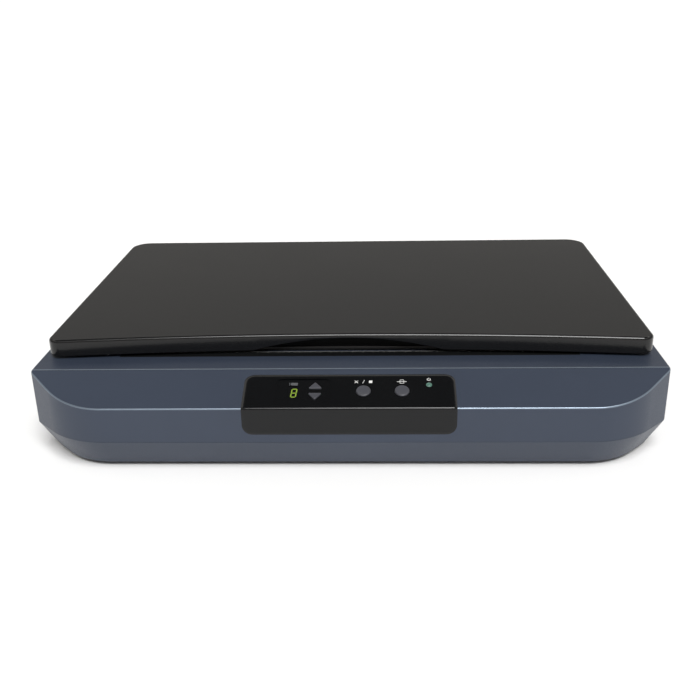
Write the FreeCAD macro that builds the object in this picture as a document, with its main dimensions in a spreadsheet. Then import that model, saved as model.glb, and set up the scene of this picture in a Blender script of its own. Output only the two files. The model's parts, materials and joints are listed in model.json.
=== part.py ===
import FreeCAD, Part
import math
import os

import Sketcher

# Wide flatbed document scanner, in millimetres.
# Frame: origin under the middle of the object on the surface it stands on,
# +X to the right, +Y to the back, +Z up.

os.makedirs("parts", exist_ok=True)
doc = FreeCAD.newDocument("flatbed_scanner")
Vector = FreeCAD.Vector
Rotation = FreeCAD.Rotation

# ----------------------------------------------------------------------------
# Driving dimensions: alias, value, meaning
# ----------------------------------------------------------------------------

DIMENSIONS = [
    ("width", 580, "overall width of the housing"),
    ("depth", 412, "depth of the housing"),
    ("deck_height", 83, "top of the deck round the glass"),
    ("slope_height", 65, "crease between front wall and sloping front"),
    ("slope_run", 46, "depth of the sloping front, seen from above"),
    ("parting_height", 32, "parting line between lower and upper housing"),
    ("foot_height", 4, "underside of the lower housing"),
    ("flare", 15, "how far the lower housing draws in towards its floor"),
    ("wall", 2.5, "thickness of every moulded wall"),
    ("corner_place", 216, "centre of a large front corner, from the middle"),
    ("corner_radius", 75, "radius of the large front corners"),
    ("side_radius", 6, "radius where the front corner meets the side"),
    ("rear_radius", 12, "radius of the rear corners"),
    ("window_half", 216, "half the width of the scanning window"),
    ("window_front", -113, "front edge of the scanning window"),
    ("window_rear", 186, "rear edge of the scanning window"),
    ("glass_thick", 3, "thickness of the platen glass"),
    ("glass_top", 82.2, "top of the platen glass"),
    ("glass_edge", 4, "how far the glass reaches past the window"),
    ("ledge_low", 77, "underside of the frame that carries the glass"),
    ("post_place", 170, "hinge posts, from the middle"),
    ("hinge_back", 197, "hinge axis, towards the back"),
    ("hinge_height", 91, "hinge axis, above the surface"),
    ("post_wide", 24, "width of a hinge post"),
    ("post_thick", 7, "thickness of a hinge post"),
    ("knuckle_radius", 4.8, "radius of the hinge knuckles"),
    ("pin_radius", 2, "radius of the hinge pins"),
    ("lid_half", 283, "half the width of the lid"),
    ("lid_low", 86, "lower edge of the lid"),
    ("lid_high", 102, "top of the lid"),
    ("lid_rear", 202, "rear edge of the lid"),
    ("lid_front", -136, "front edge of the lid at its corners"),
    ("lid_sag", 13, "how far the front edge of the lid curves back"),
    ("lid_front_radius", 12, "radius of the front corners of the lid"),
    ("lid_rear_radius", 22, "radius of the rear corners of the lid"),
    ("lid_round", 3, "rounding of the top edge of the lid"),
    ("grip_half", 90, "half the width of the finger arch"),
    ("grip_rise", 12, "height of the finger arch"),
    ("mat_half", 218, "half the width of the document mat"),
    ("mat_front", -115, "front edge of the document mat"),
    ("mat_rear", 188, "rear edge of the document mat"),
    ("mat_low", 82.5, "lower face of the document mat"),
    ("panel_left", -91.4, "left edge of the control panel"),
    ("panel_right", 97, "right edge of the control panel"),
    ("panel_reach", 41.3, "length of the control panel up the slope"),
    ("panel_low", 40, "lower edge of the control panel on the front wall"),
    ("panel_thick", 1.2, "how far the control panel stands proud"),
    ("panel_radius", 9, "corner radius of the control panel"),
    ("button_radius", 6.4, "radius of the two round buttons"),
    ("cancel_place", 15.4, "middle of the cancel button"),
    ("scan_place", 49.5, "middle of the scan button"),
    ("button_up", 19.9, "middle of the round buttons, up the slope"),
    ("key_place", -27.5, "middle of the two triangular keys"),
    ("key_half", 6.5, "half the width of a triangular key"),
    ("lamp_place", 73.5, "middle of the power lamp"),
    ("lamp_up", 27.4, "power lamp, up the slope"),
    ("lamp_radius", 2.75, "radius of the power lamp"),
    ("digit_place", -47, "middle of the digit display"),
    ("digit_up", 18.8, "digit display, up the slope"),
    ("home", -226, "middle of the scanning carriage at its home end"),
    ("carriage_half", 40, "half the width of the carriage"),
    ("carriage_front", -112, "front face of the carriage"),
    ("carriage_rear", 178, "rear face of the carriage"),
    ("carriage_low", 30, "underside of the carriage"),
    ("carriage_high", 70, "rim of the carriage tray"),
    ("guide_y", -122, "guide rod axis, towards the back"),
    ("guide_z", 40, "guide rod axis, above the surface"),
    ("guide_radius", 4, "radius of the guide rod"),
    ("rail_front", 181.5, "front edge of the rear glide rail"),
    ("rail_rear", 189.5, "rear edge of the rear glide rail"),
    ("rail_top", 46, "running face of the rear glide rail"),
    ("belt_y", -158, "line of the two pulley axes"),
    ("belt_low", 45.3, "lower edge of the timing belt"),
    ("belt_high", 50.7, "upper edge of the timing belt"),
    ("belt_radius", 8, "inner radius of the belt round its pulleys"),
    ("belt_thick", 1.2, "thickness of the timing belt"),
    ("drive_x", 248, "axis of the driven pulley"),
    ("idler_x", -262, "axis of the idler pulley"),
    ("stud_radius", 2.5, "radius of the pulley studs"),
    ("running_gap", 0.05, "radial clearance of shafts and bushes"),
    ("tooth_module", 1, "module of the gear teeth"),
    ("motor_radius", 17.5, "radius of the stepper motor"),
    ("plate_low", 34, "underside of the motor plate"),
    ("plate_thick", 1.5, "thickness of the steel plates"),
    ("board_left", 90, "left edge of the main board"),
    ("board_right", 250, "right edge of the main board"),
    ("board_front", 90, "front edge of the main board"),
    ("board_rear", 196, "rear edge of the main board"),
    ("board_low", 11, "underside of the main board"),
    ("board_thick", 1.6, "thickness of the circuit boards"),
    ("switch_x", 150, "middle of the power switch"),
    ("switch_z", 20, "height of the power switch"),
    ("rocker_y", 201.5, "pivot of the power rocker, towards the back"),
    ("usb_x", 200, "middle of the data socket"),
    ("inlet_x", 230, "middle of the power inlet"),
    ("foot_radius", 9, "radius of the rubber feet"),
    ("foot_x", 240, "feet, from the middle"),
    ("foot_front", -165, "front feet"),
    ("foot_rear", 180, "rear feet"),
    ("fit_gap", 0.3, "gap round a part that moves in an opening"),
]

sheet = doc.addObject("Spreadsheet::Sheet", "Dims")
for row, (alias, value, meaning) in enumerate(DIMENSIONS, start=1):
    sheet.set("A%d" % row, meaning)
    sheet.set("B%d" % row, str(value))
    sheet.setAlias("B%d" % row, alias)
doc.recompute()

GEAR_TEETH = 48
PINION_TEETH = 12


class Size:
    """A number together with the sheet formula that gives it."""

    def __init__(self, value, formula):
        self.value = float(value)
        self.formula = formula

    def __float__(self):
        return self.value

    def __neg__(self):
        return Size(-self.value, "-(%s)" % self.formula)

    def __add__(self, other):
        other = as_size(other)
        return Size(self.value + other.value, "(%s + %s)" % (self.formula, other.formula))

    def __sub__(self, other):
        other = as_size(other)
        return Size(self.value - other.value, "(%s - (%s))" % (self.formula, other.formula))

    def __mul__(self, other):
        other = as_size(other)
        return Size(self.value * other.value, "(%s) * (%s)" % (self.formula, other.formula))

    def __truediv__(self, other):
        other = as_size(other)
        return Size(self.value / other.value, "(%s) / (%s)" % (self.formula, other.formula))

    __radd__ = __add__
    __rmul__ = __mul__

    def __rsub__(self, other):
        return as_size(other) - self


def as_size(number):
    if isinstance(number, Size):
        return number
    return Size(number, "%.5f" % number)


def root(number):
    """Square root of a size."""
    number = as_size(number)
    return Size(math.sqrt(number.value), "sqrt(%s)" % number.formula)


class Cells:
    """Reads a driving dimension by its alias."""

    def __getattr__(self, alias):
        return Size(getattr(sheet, alias), "Dims.%s" % alias)


D = Cells()

# ----------------------------------------------------------------------------
# Modelling helpers
# ----------------------------------------------------------------------------

SIN_45 = math.sin(math.radians(45))
TAN_22 = math.tan(math.radians(22.5))
AXIS_TURN = {
    "x": Rotation(Vector(0, 1, 0), 90),
    "y": Rotation(Vector(1, 0, 0), -90),
    "z": Rotation(),
}
nodes = []


def node(item, label):
    """Keeps a finished sub-part under the name of its file."""
    item.Label = label
    nodes.append(item)
    return item


def bind(item, path, size):
    """Sets a property, or ties it to the sheet where the size comes from there."""
    if isinstance(size, Size) and "Dims." in size.formula:
        item.setExpression(path, size.formula)
        return
    if path.startswith(".Placement.Base."):
        base = item.Placement.Base
        setattr(base, path[-1], float(size))
        item.Placement = FreeCAD.Placement(base, item.Placement.Rotation)
        return
    setattr(item, path, float(size))


def move(item, x=0, y=0, z=0):
    """Places an item, each coordinate tied to the sheet."""
    for axis, size in zip("xyz", (x, y, z)):
        bind(item, ".Placement.Base.%s" % axis, size)
    return item


def box(low, high, label="block"):
    """A block between two opposite corners."""
    item = doc.addObject("Part::Box", label)
    low = [as_size(value) for value in low]
    high = [as_size(value) for value in high]
    for side, start, end in zip(("Length", "Width", "Height"), low, high):
        bind(item, side, end - start)
    return move(item, *low)


def rod(start, radius, length, axis="z", label="rod"):
    """A cylinder from a point along one axis."""
    item = doc.addObject("Part::Cylinder", label)
    item.Placement = FreeCAD.Placement(Vector(), AXIS_TURN[axis])
    bind(item, "Radius", radius)
    bind(item, "Height", length)
    return move(item, *start)


def tube(start, radius, bore, length, axis="z", label="tube"):
    """A hollow cylinder from a point along one axis."""
    return cut(rod(start, radius, length, axis), [rod(start, bore, length, axis)], label)


def join(items, label="joined"):
    """Items fused into one."""
    fused = doc.addObject("Part::MultiFuse", label)
    fused.Shapes = items
    return fused


def group(items, label="set"):
    """Separate pieces of the same kind, kept as one sub-part."""
    together = doc.addObject("Part::Compound", label)
    together.Links = items
    return together


def cut(base, tools, label="cut"):
    """An item with tools taken away."""
    result = doc.addObject("Part::Cut", label)
    result.Base = base
    result.Tool = tools[0] if len(tools) == 1 else join(tools, label + "_tools")
    return result


def common(first, second, label="common"):
    """The room that two items share."""
    result = doc.addObject("Part::Common", label)
    result.Base = first
    result.Tool = second
    return result


def origin_plane(body, plane):
    for feature in body.Origin.OriginFeatures:
        if feature.Role == plane + "_Plane":
            return feature
    raise ValueError("no plane " + plane)


def fix_point(sketch, edge, vertex, point):
    """Ties a point of a sketch to its two coordinates."""
    for kind, size in (("DistanceX", point[0]), ("DistanceY", point[1])):
        rule = Sketcher.Constraint(kind, -1, 1, edge, vertex, float(size))
        bind_rule(sketch, sketch.addConstraint(rule), size)


def bind_rule(sketch, number, size):
    if isinstance(size, Size) and "Dims." in size.formula:
        sketch.setExpression("Constraints[%d]" % number, size.formula)


def draw_edge(sketch, start, end):
    """A line, or an arc where the end point carries a radius: positive turns left.

    Gives the edge's number and which of its vertices is its start."""
    first = Vector(float(start[0]), float(start[1]), 0)
    last = Vector(float(end[0]), float(end[1]), 0)
    if len(end) == 2:
        return sketch.addGeometry(Part.LineSegment(first, last), False), 1
    radius = float(end[2])
    chord = last - first
    rise = math.sqrt(radius * radius - chord.Length * chord.Length / 4)
    left = Vector(-chord.y, chord.x, 0).normalize()
    centre = (first + last) * 0.5 + left * math.copysign(rise, radius)
    begin, finish = (first, last) if radius > 0 else (last, first)
    angles = [math.atan2(end_point.y - centre.y, end_point.x - centre.x)
              for end_point in (begin, finish)]
    circle = Part.Circle(centre, Vector(0, 0, 1), abs(radius))
    edge = sketch.addGeometry(Part.ArcOfCircle(circle, angles[0], angles[1]), False)
    size = end[2] if radius > 0 else -as_size(end[2])
    bind_rule(sketch, sketch.addConstraint(Sketcher.Constraint("Radius", edge, abs(radius))), size)
    return edge, 1 if radius > 0 else 2


def draw_loop(sketch, points):
    """A closed outline; a point (x, y, r) ends an arc."""
    edges = []
    for number, start in enumerate(points):
        end = points[(number + 1) % len(points)]
        edge, first = draw_edge(sketch, start, end)
        edges.append((edge, first, start))
    for number, (edge, first, start) in enumerate(edges):
        before, before_first, _ = edges[number - 1]
        joint = Sketcher.Constraint("Coincident", before, 3 - before_first, edge, first)
        sketch.addConstraint(joint)
        fix_point(sketch, edge, first, start)


def draw_circle(sketch, x, y, radius):
    circle = Part.Circle(Vector(float(x), float(y), 0), Vector(0, 0, 1), float(radius))
    edge = sketch.addGeometry(circle, False)
    fix_point(sketch, edge, 3, (x, y))
    bind_rule(sketch, sketch.addConstraint(Sketcher.Constraint("Radius", edge, float(radius))),
              radius)


def sketch_on(body, plane, lift, loops, label="profile"):
    """A sketch parallel to one origin plane of a body; a loop (x, y, r) is a circle."""
    profile = body.newObject("Sketcher::SketchObject", label)
    profile.AttachmentSupport = [(origin_plane(body, plane), "")]
    profile.MapMode = "FlatFace"
    lift = as_size(lift)
    profile.AttachmentOffset = FreeCAD.Placement(Vector(0, 0, lift.value), Rotation())
    if "Dims." in lift.formula:
        profile.setExpression(".AttachmentOffset.Base.z", lift.formula)
    for loop in loops:
        if isinstance(loop, tuple):
            draw_circle(profile, *loop)
        else:
            draw_loop(profile, loop)
    return profile


def new_body(label):
    return doc.addObject("PartDesign::Body", label)


def extrude(body, profile, length, label="pad"):
    feature = body.newObject("PartDesign::Pad", label)
    feature.Profile = profile
    bind(feature, "Length", length)
    return feature


def prism(plane, loops, low, high, label="prism"):
    """A body extruded between two heights over an origin plane.

    Over the XZ plane the heights run along +Y."""
    low = as_size(low)
    high = as_size(high)
    body = new_body(label)
    lift = -high if plane == "XZ" else low
    extrude(body, sketch_on(body, plane, lift, loops), high - low)
    return body


def loft(low, low_points, high, high_points, label="loft"):
    """A body ruled between two outlines at two heights."""
    body = new_body(label)
    feature = body.newObject("PartDesign::AdditiveLoft", "loft")
    feature.Profile = sketch_on(body, "XY", low, [low_points])
    feature.Sections = [sketch_on(body, "XY", high, [high_points])]
    feature.Ruled = True
    return body


def rounded(item, radius, chosen, label="rounded"):
    """Rounds the edges that a test picks."""
    doc.recompute()
    result = doc.addObject("Part::Fillet", label)
    result.Base = item
    numbers = [number for number, edge in enumerate(item.Shape.Edges, start=1) if chosen(edge)]
    result.Edges = [(number, float(radius), float(radius)) for number in numbers]
    return result


# ----------------------------------------------------------------------------
# The sloping front
# ----------------------------------------------------------------------------

FRONT = -D.depth / 2
REAR = D.depth / 2
SLOPE_DROP = D.deck_height - D.slope_height
SLOPE_RATIO = SLOPE_DROP / D.slope_run
SLOPE_STRETCH = root(SLOPE_RATIO * SLOPE_RATIO + 1)
SLOPE_SIN = SLOPE_RATIO / SLOPE_STRETCH
SLOPE_COS = as_size(1) / SLOPE_STRETCH


def slope_height_at(back, sink=0):
    """Height of the slope at a place, or of a plane sunk below it."""
    return D.slope_height + (back - FRONT) * SLOPE_RATIO - sink * SLOPE_STRETCH


def on_slope(item):
    """Moves an item drawn flat so that its Y runs up the slope and its Z out of it."""
    item.Placement = FreeCAD.Placement(Vector(), Rotation(Vector(1, 0, 0), 20))
    item.setExpression(".Placement.Rotation.Angle",
                       "atan(%s)" % SLOPE_RATIO.formula)
    return move(item, 0, FRONT, D.slope_height)


# ----------------------------------------------------------------------------
# Housings
# ----------------------------------------------------------------------------

def plan(inset, rear_inset):
    """Plan of the housing, drawn in at front and sides, and apart from that at the rear."""
    side = D.width / 2 - inset
    front = FRONT + inset
    rear = REAR - rear_inset
    big = D.corner_radius - inset
    arc_x = D.corner_place + big * SIN_45
    arc_y = FRONT + D.corner_radius - big * SIN_45
    meet_y = arc_y + side - arc_x
    reach = D.side_radius * TAN_22
    slant_x = side - reach * SIN_45
    slant_y = meet_y - reach * SIN_45
    small = D.rear_radius - rear_inset
    return [(-D.corner_place, front, big), (D.corner_place, front),
            (arc_x, arc_y, big), (slant_x, slant_y), (side, meet_y + reach, D.side_radius),
            (side, rear - small), (side - small, rear, small),
            (-side + small, rear), (-side, rear - small, small),
            (-side, meet_y + reach), (-slant_x, slant_y, D.side_radius), (-arc_x, arc_y)]


def tub_form(inset, low):
    """The lower housing's form, wider at the parting line than at its floor."""
    draw_in = D.flare * (D.parting_height - low) / (D.parting_height - D.foot_height)
    return loft(low, plan(inset + draw_in, inset), D.parting_height, plan(inset, inset), "form")


def top_form(inset):
    """The upper housing's form: straight walls, the slope and the deck."""
    block = prism("XY", [plan(inset, inset)], D.parting_height, D.deck_height - inset, "form")
    ahead = FRONT - D.wall * 2
    crease = FRONT + D.slope_run + inset * (SLOPE_STRETCH - 1) / SLOPE_RATIO
    over = D.deck_height + D.wall * 2
    wedge = prism("YZ", [[(ahead, slope_height_at(ahead, inset)),
                          (crease, D.deck_height - inset), (crease, over), (ahead, over)]],
                  -D.width / 2, D.width / 2, "slope_cut")
    return cut(block, [wedge], "form_with_slope")


SCREW_PLACES = [(130, -181), (-130, -181), (-225, -182), (268, 196), (-268, 196), (0, 197)]
SCREW_BOSS = 5
MOTOR_SCREWS = [(200, -184), (200, -146), (266, -136)]
IDLER_SCREWS = [(-244, -158), (-268, -158)]
BOARD_SCREWS = [(96, 96), (244, 96), (96, 190), (244, 190)]
RIB_PLACES = [-252, -125, 22, 75, 254]
BLOCK_INNER = 268
BLOCK_OUTER = 276
FLOOR_TOP = D.foot_height + D.wall


def lower_housing():
    shell = cut(tub_form(0, D.foot_height), [tub_form(D.wall, FLOOR_TOP)], "tub")
    bosses = [rod((x, y, D.foot_height), SCREW_BOSS, D.parting_height - D.foot_height)
              for x, y in SCREW_PLACES]
    bosses += [rod((x, y, D.foot_height), 4, D.plate_low - D.foot_height)
               for x, y in MOTOR_SCREWS]
    bosses += [rod((x, y, D.foot_height), 3.5, D.board_low - D.foot_height)
               for x, y in BOARD_SCREWS]
    bosses += [rod((x, y, D.foot_height), 4, D.guide_z - 1 - D.foot_height)
               for x, y in IDLER_SCREWS]
    bosses.append(rod((-208, D.belt_y, D.foot_height), 3, 40 - D.foot_height))
    ribs = [box((x - 2, D.rail_front + 2.5, D.foot_height),
                (x + 2, REAR - D.wall - D.fit_gap, D.rail_top - 2)) for x in RIB_PLACES]
    blocks = [box((left, D.guide_y - 10, D.foot_height), (left + 8, D.guide_y + 10, D.guide_z))
              for left in (BLOCK_INNER, -BLOCK_OUTER)]
    solid = join([shell] + bosses + ribs + blocks, "tub_with_ribs")
    tools = [rod((-D.width / 2, D.guide_y, D.guide_z), D.guide_radius + D.running_gap,
                 D.width, "x")]
    for x, y in SCREW_PLACES:
        tools.append(rod((x, y, 0), 3.6, 10))
        tools.append(rod((x, y, 9), 1.8, 30))
    tools += [rod((x, y, 18), 1.55, 30) for x, y in MOTOR_SCREWS + IDLER_SCREWS]
    tools += [rod((x, y, FLOOR_TOP), 1.25, 20) for x, y in BOARD_SCREWS]
    tools.append(box((D.home - 3, -124.5, 0), (D.home + 3, -107.5, 8)))
    tools.append(box((D.switch_x - 10.6, REAR - 5, D.switch_z - 6.6),
                     (D.switch_x + 10.6, REAR + 5, D.switch_z + 6.6)))
    tools.append(box((D.usb_x - 6.3, REAR - 5, 12.3), (D.usb_x + 6.3, REAR + 5, 23.7)))
    tools.append(box((D.inlet_x - 5, REAR - 5, 12.3), (D.inlet_x + 5, REAR + 5, 24.1)))
    return node(cut(solid, tools), "lower_housing")


SOCKET_GAP = 0.4
GLASS_PLAY = 0.3
BOARD_FRONT = 3
BOARD_DEPTH = 35
BOARD_MIDDLE = BOARD_FRONT + BOARD_DEPTH / 2
BOARD_FACE = -9.4
SLOT_LEFT = -66
SLOT_RIGHT = 84
SLOT_LOW = 4
SLOT_HIGH = 37


def upper_housing():
    outer = top_form(0)
    shell = cut(top_form(0), [top_form(D.wall)], "shell")
    ledge = box((-D.window_half - 12, D.window_front - 12, D.ledge_low),
                (D.window_half + 12, D.window_rear + 6, D.deck_height - D.wall + 1), "ledge")
    bosses = [rod((x, y, D.parting_height), SCREW_BOSS, D.deck_height - D.parting_height)
              for x, y in SCREW_PLACES]
    half_wide = D.post_wide / 2 + SOCKET_GAP
    half_thick = D.post_thick / 2 + SOCKET_GAP
    sockets = [box((D.post_place * side - half_wide - 2, D.hinge_back - half_thick - 2, 36),
                   (D.post_place * side + half_wide + 2, REAR - 1, D.deck_height))
               for side in (1, -1)]
    inside = common(join(bosses + sockets, "pillars"), outer, "pillars_in_form")
    props = [on_slope(prism("XY", [(x, BOARD_MIDDLE, 3)], BOARD_FACE, -1, "board_prop"))
             for x in (-78, 87)]
    solid = join([shell, ledge, inside] + props, "shell_with_pillars")
    edge = D.glass_edge
    tools = [box((-D.window_half - edge, D.window_front - edge, D.glass_top - D.glass_thick),
                 (D.window_half + edge, D.window_rear + edge, 90), "rebate"),
             box((-D.window_half, D.window_front, 70),
                 (D.window_half, D.window_rear, 90), "window")]
    tools += [box((D.post_place * side - half_wide, D.hinge_back - half_thick, 30),
                  (D.post_place * side + half_wide, D.hinge_back + half_thick, 90))
              for side in (1, -1)]
    tools += [rod((x, y, 30), 1.45, 20) for x, y in SCREW_PLACES]
    slot = prism("XY", [[(SLOT_LEFT, SLOT_LOW), (SLOT_RIGHT, SLOT_LOW),
                         (SLOT_RIGHT, SLOT_HIGH), (SLOT_LEFT, SLOT_HIGH)]], -3.5, 3, "slot")
    tools.append(on_slope(slot))
    return node(cut(solid, tools), "upper_housing")


def rubber_feet():
    feet = [rod((D.foot_x * side, y, 0), D.foot_radius, D.foot_height)
            for side in (1, -1) for y in (D.foot_front, D.foot_rear)]
    return node(group(feet), "rubber_feet")


def screws(places, head_low, head, shank_low, shank_high, shank, head_height):
    """Screws that stand upright: each a head and a shank in one."""
    pieces = []
    for x, y in places:
        parts = [rod((x, y, head_low), head, head_height),
                 rod((x, y, shank_low), shank, shank_high - shank_low)]
        pieces.append(join(parts, "screw"))
    return pieces


def housing_screws():
    return node(group(screws(SCREW_PLACES, 7.6, 3.2, 9, 48, 1.4, 2.4)), "housing_screws")


def inner_screws():
    top = D.plate_low + D.plate_thick
    pieces = screws(MOTOR_SCREWS, top, 3, 20, top + 1, 1.5, 1.7)
    pieces += screws(IDLER_SCREWS, D.guide_z - 1 + D.plate_thick, 3, 24, 41, 1.5, 1.7)
    board_top = D.board_low + D.board_thick
    pieces += screws(BOARD_SCREWS, board_top, 2.6, 7, board_top + 1, 1.2, 1.4)
    return node(group(pieces), "inner_screws")


# ----------------------------------------------------------------------------
# Platen
# ----------------------------------------------------------------------------

def platen_glass():
    edge = D.glass_edge - GLASS_PLAY
    return node(box((-D.window_half - edge, D.window_front - edge, D.glass_top - D.glass_thick),
                    (D.window_half + edge, D.window_rear + edge, D.glass_top)), "platen_glass")


def calibration_strip():
    return node(box((-D.window_half - 11, D.window_front, D.ledge_low - 0.5),
                    (-D.window_half - 1, D.window_rear, D.ledge_low)), "calibration_strip")


def size_rulers():
    top = D.deck_height + 0.4
    left = box((-234, D.window_front, D.deck_height), (-222.5, D.window_rear, top))
    front = box((-D.window_half, -131, D.deck_height), (D.window_half, -119.5, top))
    return node(group([left, front]), "size_rulers")


# ----------------------------------------------------------------------------
# Control panel: everything but the panel is drawn flat and laid on the slope
# ----------------------------------------------------------------------------

RECESS = (-61.6, -14.3, 6.4, 35.1)
RECESS_FLOOR = 0.4
UP_KEY = (23.2, 30.9)
DOWN_KEY = (17.8, 9.8)
UP_STEM = 26.2
DOWN_STEM = 14.6
BUTTON_PROUD = 2.2
KEY_PROUD = 1.6
LAMP_PROUD = 2
FLANGE_LOW = -1.9
FLANGE_HIGH = -0.5
SWITCH_TOP = -8.7
STEM_LOW = SWITCH_TOP + 0.9
STEM_RADIUS = 2


def triangle(base, tip, spread=0):
    """A triangular outline from its base to its tip, widened by spread."""
    way = math.copysign(1, tip - base)
    middle = D.key_place
    half = D.key_half + spread * 2.2
    low = base - way * spread
    points = [(middle - half, low), (middle + half, low), (middle, tip + way * spread * 1.8)]
    return points if way > 0 else [points[0], points[2], points[1]]


def control_panel():
    thick = D.panel_thick
    lift = thick * (SLOPE_STRETCH - SLOPE_RATIO)
    end_y = FRONT + D.panel_reach * SLOPE_COS
    end_z = D.slope_height + D.panel_reach * SLOPE_SIN
    strip = prism("YZ", [[(FRONT, D.panel_low), (FRONT, D.slope_height), (end_y, end_z),
                          (end_y - thick * SLOPE_SIN, end_z + thick * SLOPE_COS),
                          (FRONT - thick, D.slope_height + lift), (FRONT - thick, D.panel_low)]],
                  D.panel_left, D.panel_right, "bent_strip")
    bent = rounded(strip, D.panel_radius,
                   lambda edge: abs(edge.Length - float(thick)) < 0.01, "round_corners")
    left, right, low, high = RECESS
    tools = [prism("XY", [[(left, low), (right, low), (right, high), (left, high)]],
                   RECESS_FLOOR, 3, "recess")]
    for place in (D.cancel_place, D.scan_place):
        tools.append(prism("XY", [(place, D.button_up, D.button_radius + D.fit_gap)], -1, 3))
    tools.append(prism("XY", [(D.lamp_place, D.lamp_up, D.lamp_radius + 0.15)], -1, 3))
    tools.append(prism("XY", [triangle(*UP_KEY, 0.35)], -1, 3))
    tools.append(prism("XY", [triangle(*DOWN_KEY, 0.35)], -1, 3))
    pane = [(D.digit_place - 5.15, D.digit_up - 8.35), (D.digit_place + 5.15, D.digit_up - 8.35),
            (D.digit_place + 5.15, D.digit_up + 8.35), (D.digit_place - 5.15, D.digit_up + 8.35)]
    tools.append(prism("XY", [pane], -1, 3))
    return node(cut(bent, [on_slope(tool) for tool in tools]), "control_panel")


def display_window():
    window = box((0, 0, 0), (10, 16.4, 1.05))
    on_slope(window)
    return slope_place(window, D.digit_place - 5, D.digit_up - 8.2, -0.7, "display_window")


def slope_place(item, across, up, out, label):
    """Names an item and moves it to a point given in the slope's own frame."""
    move(item, across, FRONT + up * SLOPE_COS - out * SLOPE_SIN,
         D.slope_height + up * SLOPE_SIN + out * SLOPE_COS)
    return node(item, label)


def digit_display():
    module = on_slope(box((0, 0, 0), (13, 19, 8.5)))
    return slope_place(module, D.digit_place - 6.5, D.digit_up - 9.5, BOARD_FACE,
                       "digit_display")


def power_lamp():
    lamp = on_slope(rod((0, 0, 0), D.lamp_radius, LAMP_PROUD - BOARD_FACE))
    return slope_place(lamp, D.lamp_place, D.lamp_up, BOARD_FACE, "power_lamp")


def control_board():
    board = on_slope(box((0, 0, 0), (175, BOARD_DEPTH, D.board_thick)))
    return slope_place(board, -85, BOARD_FRONT, BOARD_FACE - D.board_thick, "control_board")


def switch_points():
    """Where the four switches sit under their keys, in the slope's frame."""
    return [(D.cancel_place, D.button_up), (D.scan_place, D.button_up),
            (D.key_place, UP_STEM), (D.key_place, DOWN_STEM)]


def key_switches():
    switches = [prism("XY", [[(x - 3, y - 3), (x + 3, y - 3), (x + 3, y + 3), (x - 3, y + 3)]],
                      BOARD_FACE, SWITCH_TOP, "switch") for x, y in switch_points()]
    return node(group([on_slope(switch) for switch in switches]), "key_switches")


def round_button(place, label):
    parts = [prism("XY", [(place, D.button_up, D.button_radius)], -1.2, BUTTON_PROUD, "cap"),
             prism("XY", [(place, D.button_up, D.button_radius + 1.2)],
                   FLANGE_LOW, FLANGE_HIGH, "flange"),
             prism("XY", [(place, D.button_up, STEM_RADIUS)], STEM_LOW, -1, "stem")]
    return node(join([on_slope(part) for part in parts]), label)


def arrow_key(edges, stem_up, label):
    left = D.key_place - 8
    right = D.key_place + 8
    low = min(edges) - 0.9
    high = max(edges) + 0.9
    parts = [prism("XY", [triangle(*edges)], -1.2, KEY_PROUD, "cap"),
             prism("XY", [[(left, low), (right, low), (right, high), (left, high)]],
                   FLANGE_LOW, FLANGE_HIGH, "flange"),
             prism("XY", [(D.key_place, stem_up, STEM_RADIUS)], STEM_LOW, -1, "stem")]
    return node(join([on_slope(part) for part in parts]), label)


# ----------------------------------------------------------------------------
# Guides and drive
# ----------------------------------------------------------------------------

def guide_rod():
    return node(rod((-BLOCK_OUTER + 0.5, D.guide_y, D.guide_z), D.guide_radius,
                    2 * BLOCK_OUTER - 1, "x"), "guide_rod")


def guide_rail():
    return node(box((-BLOCK_OUTER, D.rail_front, D.rail_top - 2),
                    (BLOCK_OUTER, D.rail_rear, D.rail_top)), "guide_rail")


def rod_clamps():
    clamps = []
    for left in (BLOCK_INNER, -BLOCK_OUTER):
        clamp = box((left, D.guide_y - 9, D.guide_z), (left + 8, D.guide_y + 9, D.guide_z + 7.5))
        groove = rod((left - 1, D.guide_y, D.guide_z), D.guide_radius + D.running_gap, 10, "x")
        clamps.append(cut(clamp, [groove], "clamp"))
    return node(group(clamps), "rod_clamps")


def belt_loop(radius):
    """The line of the belt round its two pulleys."""
    low = D.belt_y - radius
    high = D.belt_y + radius
    near = D.drive_x + radius
    far = D.idler_x - radius
    return [(D.idler_x, low, radius), (D.drive_x, low), (near, D.belt_y, radius),
            (D.drive_x, high, radius), (D.idler_x, high), (far, D.belt_y, radius)]


def timing_belt():
    return node(prism("XY", [belt_loop(D.belt_radius + D.belt_thick), belt_loop(D.belt_radius)],
                      D.belt_low, D.belt_high), "timing_belt")


GEAR_ANGLE = 210
MOTOR_X = D.drive_x + D.tooth_module * ((GEAR_TEETH + PINION_TEETH) / 2
                                        * math.cos(math.radians(GEAR_ANGLE)))
MOTOR_Y = D.belt_y + D.tooth_module * ((GEAR_TEETH + PINION_TEETH) / 2
                                       * math.sin(math.radians(GEAR_ANGLE)))
PRESSURE_ANGLE = 25
SHAFT_RADIUS = 2


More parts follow.
